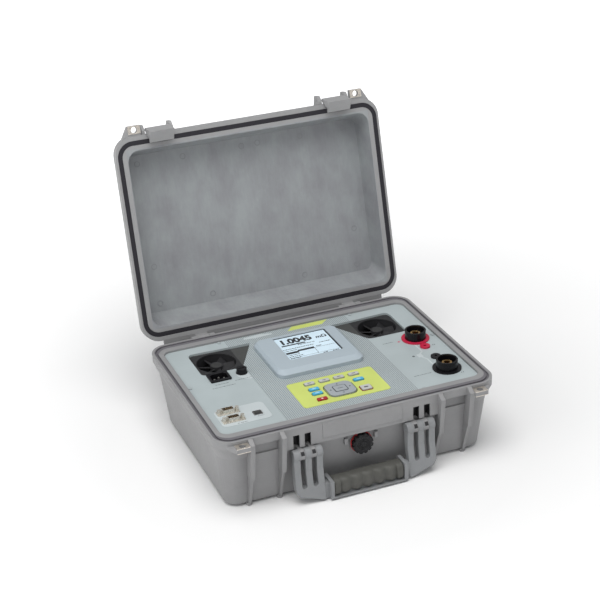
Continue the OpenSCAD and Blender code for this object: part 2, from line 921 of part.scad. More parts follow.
module latch_pins() {
  color([0.75, 0.76, 0.78])
    open_lid()
      both()
        x_bar(bay_x, pin_y, pin_z, bay_w + 2 * latch_lug_t, latch_pin_r);
}

// drawn with the link hanging straight down from its pin, then tilted over the rim
module link_turned(tilt) {
  translate([0, pin_y, pin_z])
    rotate([tilt, 0, 0])
      translate([0, -pin_y, -pin_z])
        children();
}

module latch_link(x) {
  color([0.3, 0.31, 0.33])
    open_lid()
      link_turned(link_tilt)
        difference() {
          union() {
            x_bar(x, pin_y, pin_z, 2 * (link_arm_x + link_arm_w), link_hub);
            x_bar(x, pin_y, pin_z - link_len, latch_w - 2 * run, latch_pin_r);
            for (s = [-1, 1]) {
              x_bar(x + s * (link_arm_x + link_arm_w / 2), pin_y, pin_z - link_len, link_arm_w, link_boss);
              box(x + s * (link_arm_x + link_arm_w / 2), pin_y + link_boss - link_arm_t / 2,
                pin_z - link_len, link_arm_w, link_arm_t, link_len);
            }
          }
          x_bar(x, pin_y, pin_z, latch_w, latch_pin_r + fit);
        }
}

// drawn locked on the shut case, then moved to the link's end and tilted over the rim
module lever_solid(x) {
  face_y = locked_y - face_back;
  tip_z = rim_z - latch_drop;
  catch_z = band_z - run;
  hook_end = -half_d + hook_y;
  difference() {
    side_plate(x - latch_w / 2, latch_w, [
      [face_y, lid_z + lever_top],
      [face_y, tip_z],
      [hook_end, catch_z - hook_lip],
      [hook_end, catch_z],
      [locked_y + hook_root, catch_z],
      [locked_y + hook_root, locked_z - lever_hip],
      [locked_y + lever_waist, locked_z - lever_waist_low],
      [locked_y + lever_waist, locked_z - lever_waist_top],
      [locked_y + lever_rim, locked_z - lever_nose],
      [locked_y + lever_rim, locked_z + lever_nose],
      [locked_y + lever_nose, locked_z + lever_rim],
      [locked_y - lever_rim, lid_z + lever_top]
    ]);
    box(x, face_y + latch_wall + case_d / 2, catch_z, latch_w - 2 * latch_wall, case_d, case_d);
    x_bar(x, locked_y, locked_z, latch_w + 2 * cut, latch_pin_r + fit);
  }
}

module latch_lever(x) {
  color([0.6, 0.62, 0.64])
    open_lid()
      translate([0, rest_y, rest_z])
        rotate([lever_tilt, 0, 0])
          translate([0, -locked_y, -locked_z])
            lever_solid(x);
}

module latch_link_left() {
  latch_link(-bay_x);
}

module latch_link_right() {
  latch_link(bay_x);
}

module latch_lever_left() {
  latch_lever(-bay_x);
}

module latch_lever_right() {
  latch_lever(bay_x);
}

// handle, drawn folded down
module arm_side() {
  side_plate(arm_x - arm_w / 2, arm_w, [
    [handle_y - arm_front, handle_z],
    [handle_y - arm_front, arm_bend_z],
    [handle_y - arm_front - arm_kick, arm_foot_z],
    [handle_y - arm_front - arm_kick + arm_t, arm_foot_z],
    [handle_y - arm_front + arm_t, arm_bend_z],
    [handle_y - arm_front + arm_t, handle_z]
  ]);
}

module arm_front_view() {
  x0 = arm_x - arm_w / 2;
  x1 = arm_x + arm_w / 2;
  translate([0, handle_y + arm_t, 0])
    rotate([90, 0, 0])
      linear_extrude(3 * arm_t)
        polygon([
          [x0, handle_z],
          [x0, arm_foot_z],
          [x0 + edge_t, arm_foot_z],
          [x1 - arm_corner, arm_corner_z],
          [x1, arm_hip_z],
          [x1, handle_z]
        ]);
}

module handle_arm() {
  difference() {
    union() {
      x_bar(arm_x, handle_y, handle_z, arm_w, knuckle_r);
      intersection() {
        arm_side();
        arm_front_view();
      }
    }
    for (s = [-1, 1]) {
      box(arm_x + s * slot_off, handle_y, slot_low_z, arm_slot_w, 4 * arm_t, handle_z);
      y_bar(arm_x + s * slot_off, handle_y - 2 * arm_t, slot_low_z, 4 * arm_t, arm_slot_w / 2);
    }
    x_bar(arm_x, handle_y, handle_z, arm_w + 2 * cut, handle_pin_r + fit);
  }
  // cheek at the end of the grip, and the web to the arm
  x_cheek = grip_w / 2 + cheek_w / 2;
  web_w = arm_x - arm_w / 2 - grip_w / 2 - cheek_w;
  x_web = grip_w / 2 + cheek_w + web_w / 2;
  box(x_cheek, bar_y, arm_foot_z, cheek_w, grip_t + 2 * grip_edge, grip_h + edge_t);
  box(x_web, bar_y - grip_edge, arm_foot_z, web_w + 2 * run, core_t, grip_h - edge_t);
}

module handle_frame() {
  color([0.62, 0.64, 0.66])
    union() {
      both()
        handle_arm();
      box(0, bar_y, arm_foot_z, grip_w + 2 * run, grip_t + 2 * grip_edge, edge_t);
      box(0, bar_y, arm_foot_z, grip_w + 2 * run, core_t, bar_h);
    }
}

module handle_grip() {
  low = arm_foot_z + edge_t;
  color([0.22, 0.22, 0.2])
    difference() {
      hull() {
        for (sy = [-1, 1]) {
          x_bar(0, bar_y + sy * (grip_t / 2 - grip_round), low + grip_h - grip_round, grip_w, grip_round,
            $fn = hull_fn);
        }
        box(0, bar_y, low, grip_w, grip_t, edge_t);
      }
      box(0, bar_y, low - cut, grip_w + 2 * cut, core_t, bar_h - edge_t + cut);
    }
}

module handle_pins() {
  color([0.75, 0.76, 0.78])
    both()
      x_bar(arm_x, handle_y, handle_z, arm_w - 2 * run, handle_pin_r);
}

// purge valve
module valve_body() {
  y_in = -well_d / 2 + nut_t;
  y_out = valve_face - ring_t - valve_len + knob_cap;
  color([0.7, 0.71, 0.72])
    union() {
      y_bar(0, y_out, valve_z, y_in - y_out, valve_stem_r);
      y_bar(0, -well_d / 2, valve_z, nut_t, 2 * valve_stem_r);
    }
}

module valve_ring() {
  color([0.75, 0.08, 0.12])
    difference() {
      y_bar(0, valve_face - ring_t, valve_z, ring_t, valve_r + ring_out);
      y_bar(0, valve_face - ring_t - cut, valve_z, ring_t + 2 * cut, valve_r / 2);
    }
}

module valve_knob() {
  y0 = valve_face - ring_t - run - valve_len;
  color([0.08, 0.08, 0.09])
    difference() {
      y_bar(0, y0, valve_z, valve_len, valve_r);
      y_bar(0, y0 + knob_cap, valve_z, valve_len, valve_stem_r + fit);
      for (a = [0 : 360 / knob_grips : 359]) {
        translate([0, 0, valve_z])
          rotate([0, a, 0])
            y_bar(valve_r, y0 - cut, 0, valve_len + 2 * cut, knob_grip_r);
      }
    }
}

// control panel
module window(x, y, w, d, r, gap) {
  translate([x, y, panel_under - cut])
    slab(w + 2 * gap, d + 2 * gap, panel_drop + panel_t + 2 * cut, r);
}

module key_windows() {
  for (k = key_places) {
    window(k[0], k[1], k[2], k[3], key_r, run);
  }
  window(0, nav_y, nav_w, nav_d, nav_r, nav_clear);
}

module fan_outline(side) {
  linear_extrude(rim_z)
    polygon([for (p = fan_hole_shares) [side * p[0] * px, p[1] * py]]);
}

module connector_holes() {
  for (y = [dsub_front_y, dsub_rear_y]) {
    window(dsub_x, y, dsub_body_w, dsub_body_d, dsub_r, run);
    for (s = [-1, 1]) {
      post(dsub_x + s * dsub_screws / 2, y, panel_under - cut, rim_z, standoff_stud_r + fit);
    }
  }
  window(usb_x, usb_y, usb_w, usb_d, usb_wall, run);
}

module control_panel() {
  color([0.1, 0.09, 0.17])
    difference() {
      translate([0, 0, panel_under])
        slab(panel_w, panel_d, panel_t, panel_r - pocket_gap);
      window(window_x, window_y, window_w, window_d, window_lip, window_lip);
      key_windows();
      for (s = [-1, 1]) {
        fan_outline(s);
      }
      connector_holes();
      window(inlet_x, inlet_y, inlet_body_w, inlet_body_d, inlet_r, run);
      post(fuse_x, fuse_y, panel_under - cut, rim_z, fuse_body_r + fit);
      for (y = [term_rear_y, term_front_y]) {
        post(term_x, y, panel_under - cut, rim_z, contact_r + fit);
      }
      for (y = [volt_rear_y, volt_front_y]) {
        post(volt_x, y, panel_under - cut, rim_z, volt_body_r + fit);
      }
      for (p = screw_shares) {
        post(p[0] * px, p[1] * py, panel_under - cut, rim_z, screw_r + fit);
      }
    }
}

module panel_band() {
  color([0.14, 0.13, 0.22])
    difference() {
      translate([0, 0, panel_z])
        linear_extrude(film_t)
          square([band_w, panel_d - 2 * film_t], center = true);
      window(window_x, window_y, window_w, window_d, window_lip, window_lip);
      window(0, keypad_y, keypad_w, keypad_d, keypad_r, fit);
      for (s = [-1, 1]) {
        fan_outline(s);
      }
      for (p = screw_shares) {
        post(p[0] * px, p[1] * py, panel_under - cut, rim_z, screw_head_r + fit);
      }
    }
}

module panel_screws() {
  color([0.3, 0.3, 0.32])
    for (p = screw_shares) {
      post(p[0] * px, p[1] * py, panel_under - screw_len, panel_t + screw_len, screw_r);
      post(p[0] * px, p[1] * py, panel_z, screw_head_t, screw_head_r);
    }
}

// display
module display_housing() {
  z_top = panel_z + housing_h;
  z_glass = z_top - window_deep;
  color([0.12, 0.12, 0.13])
    difference() {
      union() {
        translate([0, housing_y, panel_z + film_t])
          slab(housing_w, housing_d, housing_edge_h - film_t, housing_r);
        hull() {
          translate([0, housing_y, 0])
            thin_slab(housing_w, housing_d, housing_r, panel_z + housing_edge_h - run);
          translate([0, housing_y + (housing_bevel_front - housing_bevel) / 2, 0])
            thin_slab(housing_w - 2 * housing_bevel, housing_d - housing_bevel_front - housing_bevel,
              housing_in_r, z_top - skin);
        }
      }
      translate([window_x, window_y, panel_z - cut])
        slab(window_w, window_d, housing_h + 2 * cut, window_lip);
      translate([window_x, window_y, panel_z - cut])
        slab(window_w + 2 * window_lip, window_d + 2 * window_lip, z_glass - panel_z + cut, window_lip);
    }
}

module display_glass() {
  color([0.75, 0.8, 0.85])
    translate([window_x, window_y, panel_z + housing_h - window_deep - glass_t])
      slab(window_w + 2 * window_lip - 2 * fit, window_d + 2 * window_lip - 2 * fit, glass_t, window_lip);
}

module display_module() {
  z_low = panel_under - board_t;
  color([0.1, 0.35, 0.2])
    union() {
      box(window_x, window_y, z_low, module_board_w, module_board_d, board_t);
      translate([window_x, window_y, z_low])
        slab(window_w + 2 * window_lip - 2 * module_gap, window_d + 2 * window_lip - 2 * module_gap,
          panel_z + housing_h - window_deep - glass_t - z_low, window_lip);
    }
}

// keypad
module keypad_plate() {
  color([0.85, 0.87, 0.92])
    difference() {
      translate([0, keypad_y, panel_z])
        slab(keypad_w, keypad_d, keypad_t, keypad_r);
      key_windows();
    }
}

module key(n) {
  k = key_places[n];
  low = panel_under - run - key_flange_t;
  color(k[4])
    translate([k[0], k[1], low])
      union() {
        slab(k[2], k[3], panel_z + keypad_t + key_up - low, key_r);
        slab(k[2] + 2 * key_flange, k[3] + 2 * key_flange, key_flange_t, key_r);
      }
}

module key_f1() {
  key(0);
}

module key_f2() {
  key(1);
}

module key_f3() {
  key(2);
}

module key_f4() {
  key(3);
}

module key_blue_upper() {
  key(4);
}

module key_blue_lower() {
  key(5);
}

module key_stop() {
  key(6);
}

module key_blue_right() {
  key(7);
}

module key_start() {
  key(8);
}

module nav_pivot() {
  color([0.3, 0.3, 0.32])
    translate([0, nav_y, nav_low - pivot_gap - pivot_t])
      ring_slab(enter_w + 2 * pivot_clear + 2 * pivot_band, enter_d + 2 * pivot_clear + 2 * pivot_band,
        pivot_t, pivot_clear + pivot_band + key_r, pivot_band);
}

module nav_pad() {
  color([0.4, 0.41, 0.43])
    translate([0, nav_y, nav_low])
      difference() {
        union() {
          slab(nav_w, nav_d, panel_z + keypad_t + nav_up - nav_low, nav_r);
          slab(nav_w + 2 * key_flange, nav_d + 2 * key_flange, key_flange_t, nav_r + key_flange);
        }
        translate([0, 0, -cut])
          slab(enter_w + 2 * run, enter_d + 2 * run, rim_z, key_r);
        translate([0, 0, -cut])
          slab(enter_w + 2 * enter_room, enter_d + 2 * enter_room, nav_body + cut, key_r);
      }
}

module key_enter() {
  low = nav_low + nav_body - run - key_flange_t;
  color([0.55, 0.57, 0.6])
    translate([0, nav_y, low])
      union() {
        slab(enter_w, enter_d, panel_z + keypad_t + nav_up + enter_up - low, key_r);
        slab(enter_w + 2 * key_flange, enter_d + 2 * key_flange, key_flange_t, key_r);
      }
}

// fans
module fan_tray(side) {
  color([0.05, 0.05, 0.06])
    difference() {
      box(side * (tray_x0 + tray_x1) / 2, (tray_y0 + tray_y1) / 2, panel_under - tray_t,
        tray_x1 - tray_x0, tray_y1 - tray_y0, tray_t);
      post(side * fan_x, fan_y, panel_under - tray_t - cut, rim_z, fan_r);
    }
}

module fan_frame(side) {
  low = panel_under - tray_t - fan_h;
  color([0.07, 0.07, 0.08])
    translate([side * fan_x, fan_y, low])
      union() {
        difference() {
          slab(fan_size, fan_size, fan_h, fan_corner_r);
          translate([0, 0, -cut])
            cylinder(h = fan_h + 2 * cut, r = fan_r + run);
        }
        cylinder(h = fan_spoke_t, r = fan_hub_r);
        cylinder(h = fan_h - fan_spoke_t, r = fan_axle_r);
        for (a = [30, 150, 270]) {
          rotate([0, 0, a])
            translate([fan_hub_r - fan_spoke_w, -fan_spoke_w / 2, 0])
              cube([fan_size / 2 - fan_hub_r + fan_spoke_w - run, fan_spoke_w, fan_spoke_t]);
        }
      }
}

module fan_rotor(side) {
  low = panel_under - tray_t - fan_h + fan_spoke_t + run;
  hub_h = fan_h - fan_spoke_t - fan_gap - run;
  color([0.12, 0.12, 0.13])
    translate([side * fan_x, fan_y, low])
      difference() {
        union() {
          cylinder(h = hub_h, r = fan_hub_r);
          for (i = [1 : fan_blades]) {
            rotate([0, 0, i * 360 / fan_blades])
              translate([fan_hub_r - blade_t, 0, hub_h / 2])
                rotate([fan_tilt, 0, 0])
                  translate([0, -blade_w / 2, -blade_t / 2])
                    cube([fan_r - fan_gap - fan_hub_r + blade_t, blade_w, blade_t]);
          }
        }
        translate([0, 0, -cut])
          cylinder(h = fan_h - 2 * fan_spoke_t + cut, r = fan_axle_r + fit);
      }
}

module fan_tray_left() {
  fan_tray(-1);
}

module fan_tray_right() {
  fan_tray(1);
}

module fan_frame_left() {
  fan_frame(-1);
}

module fan_frame_right() {
  fan_frame(1);
}

module fan_rotor_left() {
  fan_rotor(-1);
}

module fan_rotor_right() {
  fan_rotor(1);
}

// mains inlet and fuse
module mains_inlet() {
  z_top = panel_z + inlet_t;
  color([0.07, 0.07, 0.08])
    difference() {
      union() {
        translate([inlet_x, inlet_y, panel_z])
          slab(inlet_w, inlet_d, inlet_t, inlet_r);
        translate([inlet_x, inlet_y, z_top - inlet_body_h])
          slab(inlet_body_w, inlet_body_d, inlet_body_h, inlet_r);
      }
      translate([inlet_x, inlet_y, z_top - inlet_well_h])
        linear_extrude(inlet_well_h + cut)
          polygon([
            [-inlet_well_w / 2, -inlet_well_d / 2],
            [inlet_well_w / 2, -inlet_well_d / 2],
            [inlet_well_w / 2, inlet_well_d / 2 - inlet_chamfer],
            [inlet_well_w / 2 - inlet_chamfer, inlet_well_d / 2],
            [-inlet_well_w / 2 + inlet_chamfer, inlet_well_d / 2],
            [-inlet_well_w / 2, inlet_well_d / 2 - inlet_chamfer]
          ]);
    }
}

module inlet_blades() {
  low = panel_z + inlet_t - inlet_well_h;
  h = inlet_well_h - blade_drop;
  color([0.75, 0.74, 0.7])
    union() {
      box(inlet_x, inlet_y + blade_pin_y - blade_off, low, blade_pin_t, blade_pin_w, h);
      for (s = [-1, 1]) {
        box(inlet_x + s * blade_pin_x, inlet_y - blade_off, low, blade_pin_t, blade_pin_w, h);
      }
    }
}

module fuse_holder() {
  color([0.07, 0.07, 0.08])
    difference() {
      union() {
        post(fuse_x, fuse_y, panel_z, fuse_ring, fuse_r + fuse_ring_t);
        post(fuse_x, fuse_y, panel_under - fuse_body_h, fuse_body_h + panel_t, fuse_body_r);
      }
      post(fuse_x, fuse_y, panel_z - fuse_plug_h - run, rim_z, fuse_bore_r);
    }
}

module fuse_cap() {
  z_cap = panel_z + fuse_ring + run;
  color([0.16, 0.16, 0.17])
    difference() {
      union() {
        post(fuse_x, fuse_y, z_cap, fuse_h - fuse_ring, fuse_r);
        post(fuse_x, fuse_y, panel_z - fuse_plug_h, fuse_plug_h + fuse_ring + 2 * run, fuse_bore_r - fit);
      }
      box(fuse_x, fuse_y, z_cap + fuse_h - fuse_ring - fuse_slot_deep, fuse_bore_r * 2 + fuse_slot_w,
        fuse_slot_w, fuse_slot_deep + cut);
    }
}

// data connectors
module data_patch() {
  color([0.75, 0.76, 0.85])
    difference() {
      translate([patch_x, patch_y, panel_z])
        slab(patch_w, patch_d, film_t, patch_r);
      connector_holes();
    }
}

module d_outline(grow) {
  polygon([
    [-dsub_low_w / 2 - grow, -dsub_shell_d / 2 - grow],
    [dsub_low_w / 2 + grow, -dsub_shell_d / 2 - grow],
    [dsub_top_w / 2 + grow, dsub_shell_d / 2 + grow],
    [-dsub_top_w / 2 - grow, dsub_shell_d / 2 + grow]
  ]);
}

module dsub_connectors() {
  z0 = panel_z + film_t;
  color([0.72, 0.73, 0.75])
    for (y = [dsub_front_y, dsub_rear_y]) {
      translate([dsub_x, y, 0])
        difference() {
          union() {
            translate([0, 0, z0])
              slab(dsub_flange_w, dsub_flange_d, dsub_flange_t, dsub_r);
            translate([0, 0, z0])
              linear_extrude(dsub_shell_h)
                d_outline(0);
            translate([0, 0, z0 - dsub_body_h])
              slab(dsub_body_w, dsub_body_d, dsub_body_h, dsub_r);
          }
          translate([0, 0, z0 + dsub_shell_h - dsub_well_h])
            linear_extrude(dsub_shell_h)
              d_outline(-dsub_wall);
          for (s = [-1, 1]) {
            post(s * dsub_screws / 2, 0, z0 - cut, rim_z, standoff_stud_r + fit);
          }
        }
    }
}

module dsub_standoffs() {
  z0 = panel_z + film_t + dsub_flange_t;
  color([0.78, 0.79, 0.8])
    for (y = [dsub_front_y, dsub_rear_y]) {
      for (s = [-1, 1]) {
        translate([dsub_x + s * dsub_screws / 2, y, z0])
          union() {
            cylinder(h = standoff_h, r = standoff_r, $fn = 6);
            translate([0, 0, -standoff_stud_h])
              cylinder(h = standoff_stud_h, r = standoff_stud_r);
          }
      }
    }
}

module usb_socket() {
  z_top = panel_z + film_t + usb_up;
  color([0.7, 0.71, 0.73])
    translate([usb_x, usb_y, z_top - usb_h])
      union() {
        ring_slab(usb_w, usb_d, usb_h, 2 * usb_wall, usb_wall);
        slab(usb_w, usb_d, usb_floor_t, 2 * usb_wall);
        slab(usb_tongue_w, usb_tongue_d, usb_h - usb_floor_t, usb_wall);
      }
}

// terminals
module terminal_flanges() {
  color([0.6, 0.1, 0.12])
    for (y = [term_rear_y, term_front_y]) {
      difference() {
        post(term_x, y, panel_z, term_flange_t, term_flange_r);
        post(term_x, y, panel_z - cut, rim_z, term_r + fit);
      }
    }
}

module terminal_shrouds() {
  color([0.06, 0.06, 0.07])
    for (y = [term_rear_y, term_front_y]) {
      difference() {
        post(term_x, y, panel_z, term_flange_t + term_h, term_r);
        post(term_x, y, panel_z + contact_floor, rim_z, term_r - term_wall);
        post(term_x, y, panel_z - cut, rim_z, contact_r + fit);
      }
    }
}

module terminal_contacts() {
  z_top = panel_z + term_flange_t + term_h - contact_drop;
  color([0.8, 0.68, 0.4])
    for (y = [term_rear_y, term_front_y]) {
      difference() {
        union() {
          post(term_x, y, panel_under - stud_h, z_top - panel_under + stud_h, contact_r);
          post(term_x, y, panel_under - term_nut_t, term_nut_t, contact_r + term_nut_w);
        }
        post(term_x, y, z_top - contact_deep, rim_z, contact_hole_r);
      }
    }
}

module voltage_sockets() {
  color([0.6, 0.1, 0.12])
    for (y = [volt_rear_y, volt_front_y]) {
      difference() {
        union() {
          post(volt_x, y, panel_z, volt_h, volt_r);
          post(volt_x, y, panel_under - volt_body_h, volt_body_h + panel_t, volt_body_r);
          post(volt_x, y, panel_under - term_nut_t, term_nut_t, volt_r);
        }
        post(volt_x, y, panel_z + volt_h - volt_deep, rim_z, volt_hole_r);
      }
    }
}

// inner units
module board(x, y, z, w, d) {
  box(x, y, z, w, d, board_t);
}

module main_board() {
  z_key = nav_low - pivot_gap - pivot_t - pivot_gap - board_t;
  z_main = panel_under - main_board_h;
  color([0.1, 0.35, 0.2])
    union() {
      board(0, keypad_y, z_key, keypad_w, keypad_d);
      board(main_board_x, main_board_y, z_main, main_board_w, main_board_d);
      for (sx = [-1, 1]) {
        for (sy = [-1, 1]) {
          post(sx * (keypad_w / 2 - spacer_in), keypad_y + sy * (keypad_d / 2 - spacer_in), z_main,
            panel_under - z_main, spacer_r);
        }
      }
    }
}

module power_unit() {
  color([0.6, 0.6, 0.62])
    translate([power_x, power_y, floor_t])
      slab(power_w, power_d, power_h, power_r);
}

module current_module() {
  z_fins = floor_t + module_h - fin_h;
  gap = (module_w - fin_n * fin_t) / (fin_n - 1);
  color([0.5, 0.51, 0.53])
    union() {
      box(module_x, module_y, floor_t, module_w, module_d, module_h - fin_h);
      for (i = [0 : fin_n - 1]) {
        box(module_x - module_w / 2 + fin_t / 2 + i * (fin_t + gap), module_y, z_fins - run,
          fin_t, module_d, fin_h + run);
      }
    }
}

module bus_bars() {
  low = floor_t + module_h;
  color([0.75, 0.45, 0.3])
    for (y = [term_rear_y, term_front_y]) {
      box(term_x, y, low, bar_t, bar_w, panel_under - stud_h - low);
    }
}

base_shell();
lid_shell();
lid_seal();
hinge_pins();
lug_plates_base();
lug_plates_lid();
latch_pins();
latch_link_left();
latch_link_right();
latch_lever_left();
latch_lever_right();
handle_frame();
handle_grip();
handle_pins();
valve_body();
valve_ring();
valve_knob();
control_panel();
panel_band();
panel_screws();
display_housing();
display_glass();
display_module();
keypad_plate();
key_f1();
key_f2();
key_f3();
key_f4();
key_blue_upper();
key_blue_lower();
key_stop();
key_blue_right();
key_start();
nav_pivot();
nav_pad();
key_enter();
fan_tray_left();
fan_tray_right();
fan_frame_left();
fan_frame_right();
fan_rotor_left();
fan_rotor_right();
mains_inlet();
inlet_blades();
fuse_holder();
fuse_cap();
data_patch();
dsub_connectors();
dsub_standoffs();
usb_socket();
terminal_flanges();
terminal_shrouds();
terminal_contacts();
voltage_sockets();
main_board();
power_unit();
current_module();
bus_bars();
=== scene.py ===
"""Portable micro ohmmeter in a moulded protector case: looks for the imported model, laid out as an add-on.

The sizes in the property groups are metres. Points and heights in the operators and in the drawing
functions are millimetres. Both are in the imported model's frame, and every piece rides on a CAD body.
"""
import math

import bmesh
import bpy
from mathutils import Matrix, Vector


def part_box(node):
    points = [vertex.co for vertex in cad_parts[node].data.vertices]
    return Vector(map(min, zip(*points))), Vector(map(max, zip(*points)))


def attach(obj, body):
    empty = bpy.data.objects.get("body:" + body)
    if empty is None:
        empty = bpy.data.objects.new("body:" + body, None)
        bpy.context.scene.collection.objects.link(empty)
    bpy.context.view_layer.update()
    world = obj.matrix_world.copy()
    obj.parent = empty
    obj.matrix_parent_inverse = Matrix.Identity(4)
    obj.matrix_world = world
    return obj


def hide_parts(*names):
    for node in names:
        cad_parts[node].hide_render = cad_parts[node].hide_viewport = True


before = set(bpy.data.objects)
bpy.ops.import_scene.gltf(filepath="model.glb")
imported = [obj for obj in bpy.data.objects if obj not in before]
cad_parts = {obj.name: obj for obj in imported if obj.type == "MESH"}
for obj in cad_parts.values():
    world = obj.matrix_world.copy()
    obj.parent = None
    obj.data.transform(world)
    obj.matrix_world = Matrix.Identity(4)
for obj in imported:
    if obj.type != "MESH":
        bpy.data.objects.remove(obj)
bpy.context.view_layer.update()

bl_info = {
    "name": "Micro ohmmeter",
    "version": (1, 0, 0),
    "blender": (4, 5, 0),
    "location": "View3D > Sidebar > Ohmmeter",
    "description": "Materials, printed marks, grip, screen and studio for the packed micro ohmmeter",
    "category": "Object",
}

MM = 0.001
HINGE = Vector((0, 155.2, 103.2)) * MM
LID_ANGLE = math.radians(103.5)
# Heights in millimetres: the painted panel, the films on it and the keypad's film.
PANEL_TOP = 107.0
FILM_TOP = PANEL_TOP + 0.4
KEYPAD_TOP = 108.0
# Width in millimetres of the hidden flange round each key.
KEY_FLANGE = 1.1


def tone(r, g, b):
    """A colour as a screen shows it, from 0 to 255, turned into the linear values that shaders take."""
    out = []
    for v in (r, g, b):
        v = v / 255
        out.append(v / 12.92 if v <= 0.04045 else ((v + 0.055) / 1.055) ** 2.4)
    return tuple(out)


def colour_prop(name, description, default):
    return bpy.props.FloatVectorProperty(
        name=name, description=description, subtype="COLOR", size=3, min=0, max=1, default=default)


def length_prop(name, description, default, low=0.0):
    return bpy.props.FloatProperty(
        name=name, description=description, default=default, min=low, unit="LENGTH")


class CaseLooks(bpy.types.PropertyGroup):
    """Moulded plastic of the case, its lid, latches and handle."""

    plastic: colour_prop("Plastic", "Colour of the moulded case", tone(141, 141, 142))
    inside: colour_prop("Lid inside", "Colour of the bare moulding inside the lid", tone(142, 143, 147))
    inside_worn: colour_prop(
        "Lid inside, worn", "Colour of the lighter clouds inside the lid", tone(148, 152, 154))
    # Painted shade: the ledge colour stands for the seal groove's shade on the rim, not for a colour of the
    # plastic.
    ledge_shade: colour_prop("Seal ledge", "Colour of the dull ledge round the base's rim", tone(104, 102, 107))
    # Painted shade: this near-black colour stands for the shade in the pockets over the handle's arms and in
    # the knuckles' windows.
    pocket_shade: colour_prop("Pockets", "Colour of the dark pockets over the handle's arms", tone(34, 34, 36))
    handle: colour_prop("Handle", "Colour of the handle's arms", tone(134, 136, 138))
    grain: length_prop("Grain", "Size of the moulded grain", 0.9 * MM, 0.2 * MM)
    grain_deep: length_prop("Grain depth", "Depth of the moulded grain", 0.05 * MM)
    edge: length_prop("Soft edge", "Radius that the shading gives to moulded edges", 1.1 * MM)
    seal: colour_prop("Seal", "Colour of the rubber seal", tone(34, 32, 38))
    lug_steel: colour_prop(
        "Lug steel", "Colour of the steel plates on the padlock lugs", tone(224, 216, 206))
    pin_steel: colour_prop("Pin steel", "Colour of hinge, latch and handle pins", tone(178, 180, 184))
    hinge_middle: length_prop("Hinge", "Distance of each hinge from the middle", 115 * MM)
    hinge_half: length_prop("Hinge half", "Half of the width that a hinge's knuckles take up", 18.4 * MM)
    mark_r: length_prop("Mould mark", "Radius of the round mould marks inside the lid", 4 * MM, 1 * MM)


class GripLooks(bpy.types.PropertyGroup):
    """Rubber grip of the handle."""

    rubber: colour_prop("Rubber", "Colour of the grip", tone(84, 84, 80))
    bump: length_prop("Finger bump", "Spacing of the finger bumps", 16.4 * MM, 5 * MM)
    bump_deep: length_prop("Bump depth", "Depth of the hollows between the bumps", 2.8 * MM)
    rib: length_prop("Rib", "Spacing of the fine ribs on the upper rear edge", 2 * MM, 1 * MM)
    rib_deep: length_prop("Rib depth", "Depth between the fine ribs", 0.8 * MM)


class ValveLooks(bpy.types.PropertyGroup):
    """Purge valve on the front of the case."""

    knob: colour_prop("Knob", "Colour of the valve's knob", tone(24, 24, 26))
    ring: colour_prop("Ring", "Colour of the valve's ring", tone(150, 40, 44))


class PanelLooks(bpy.types.PropertyGroup):
    """Painted panel, its printed band and the films on it."""

    paint: colour_prop("Paint", "Colour of the panel", tone(170, 180, 182))
    band: colour_prop("Band", "Light colour of the printed band", tone(180, 189, 191))
    dots: colour_prop("Dots", "Dark colour of the printed band's dots", tone(104, 114, 118))
    dot_pitch: length_prop("Dot pitch", "Spacing of the band's dots", 3.7 * MM, 0.5 * MM)
    pale: colour_prop("Pale film", "Colour of the pale patches", tone(190, 198, 200))
    ink: colour_prop("Ink", "Colour of the fine printed lines", tone(84, 90, 94))
    accent: colour_prop("Accent", "Colour of the yellow-green films", tone(199, 211, 112))
    screws: colour_prop("Screws", "Colour of the panel screws", tone(168, 176, 178))


class DisplayLooks(bpy.types.PropertyGroup):
    """Display housing and what the screen shows."""

    housing: colour_prop("Housing", "Colour of the display housing", tone(168, 180, 188))
    screen: colour_prop("Screen", "Colour of the lit screen", tone(206, 226, 238))
    # The dark colour also paints the shadow of the window's recess along the screen's edges.
    dark: colour_prop("Dark cells", "Colour of the screen's dark cells", tone(24, 26, 30))
    reading: bpy.props.StringProperty(
        name="Reading", description="Number that the screen shows", default="1.0045")
    digit_h: length_prop("Digit height", "Height of the large digits", 14.5 * MM, 4 * MM)


class KeypadLooks(bpy.types.PropertyGroup):
    """Keys and their marks."""

    grey: colour_prop("Grey keys", "Colour of the grey keys", tone(186, 187, 186))
    blue: colour_prop("Blue keys", "Colour of the blue keys", tone(78, 172, 214))
    red: colour_prop("Red key", "Colour of the stop key", tone(160, 34, 44))
    pad: colour_prop("Arrow pad", "Colour of the arrow pad", tone(156, 162, 166))
    outline: colour_prop("Outline", "Colour of the outlines and arrows", tone(58, 62, 68))
    line: length_prop("Outline width", "Width of the printed outlines", 0.9 * MM, 0.2 * MM)


class SocketLooks(bpy.types.PropertyGroup):
    """Fans, inlet, fuse, data connectors and measuring terminals."""

    tray: colour_prop("Fan tray", "Colour of the dark trays under the fan openings", tone(68, 69, 68))
    surround: colour_prop("Fan surround", "Colour of the tray round each fan", tone(38, 38, 40))
    fan: colour_prop("Fan", "Colour of the fans", tone(34, 34, 37))
    hub: colour_prop("Fan hub", "Colour of the fan's hub disc", tone(50, 50, 50))
    black: colour_prop("Black parts", "Colour of the black sockets", tone(20, 19, 22))
    crimson: colour_prop(
        "Red terminal", "Colour of the red terminal's flange and socket", tone(186, 36, 66))
    brass: colour_prop("Brass", "Colour of the brass contacts", tone(214, 176, 118))
    plated: colour_prop("Plated shells", "Colour of the data connectors' shells", tone(218, 214, 204))
    nickel: colour_prop("Nickel", "Colour of the inlet's blades", tone(200, 198, 190))


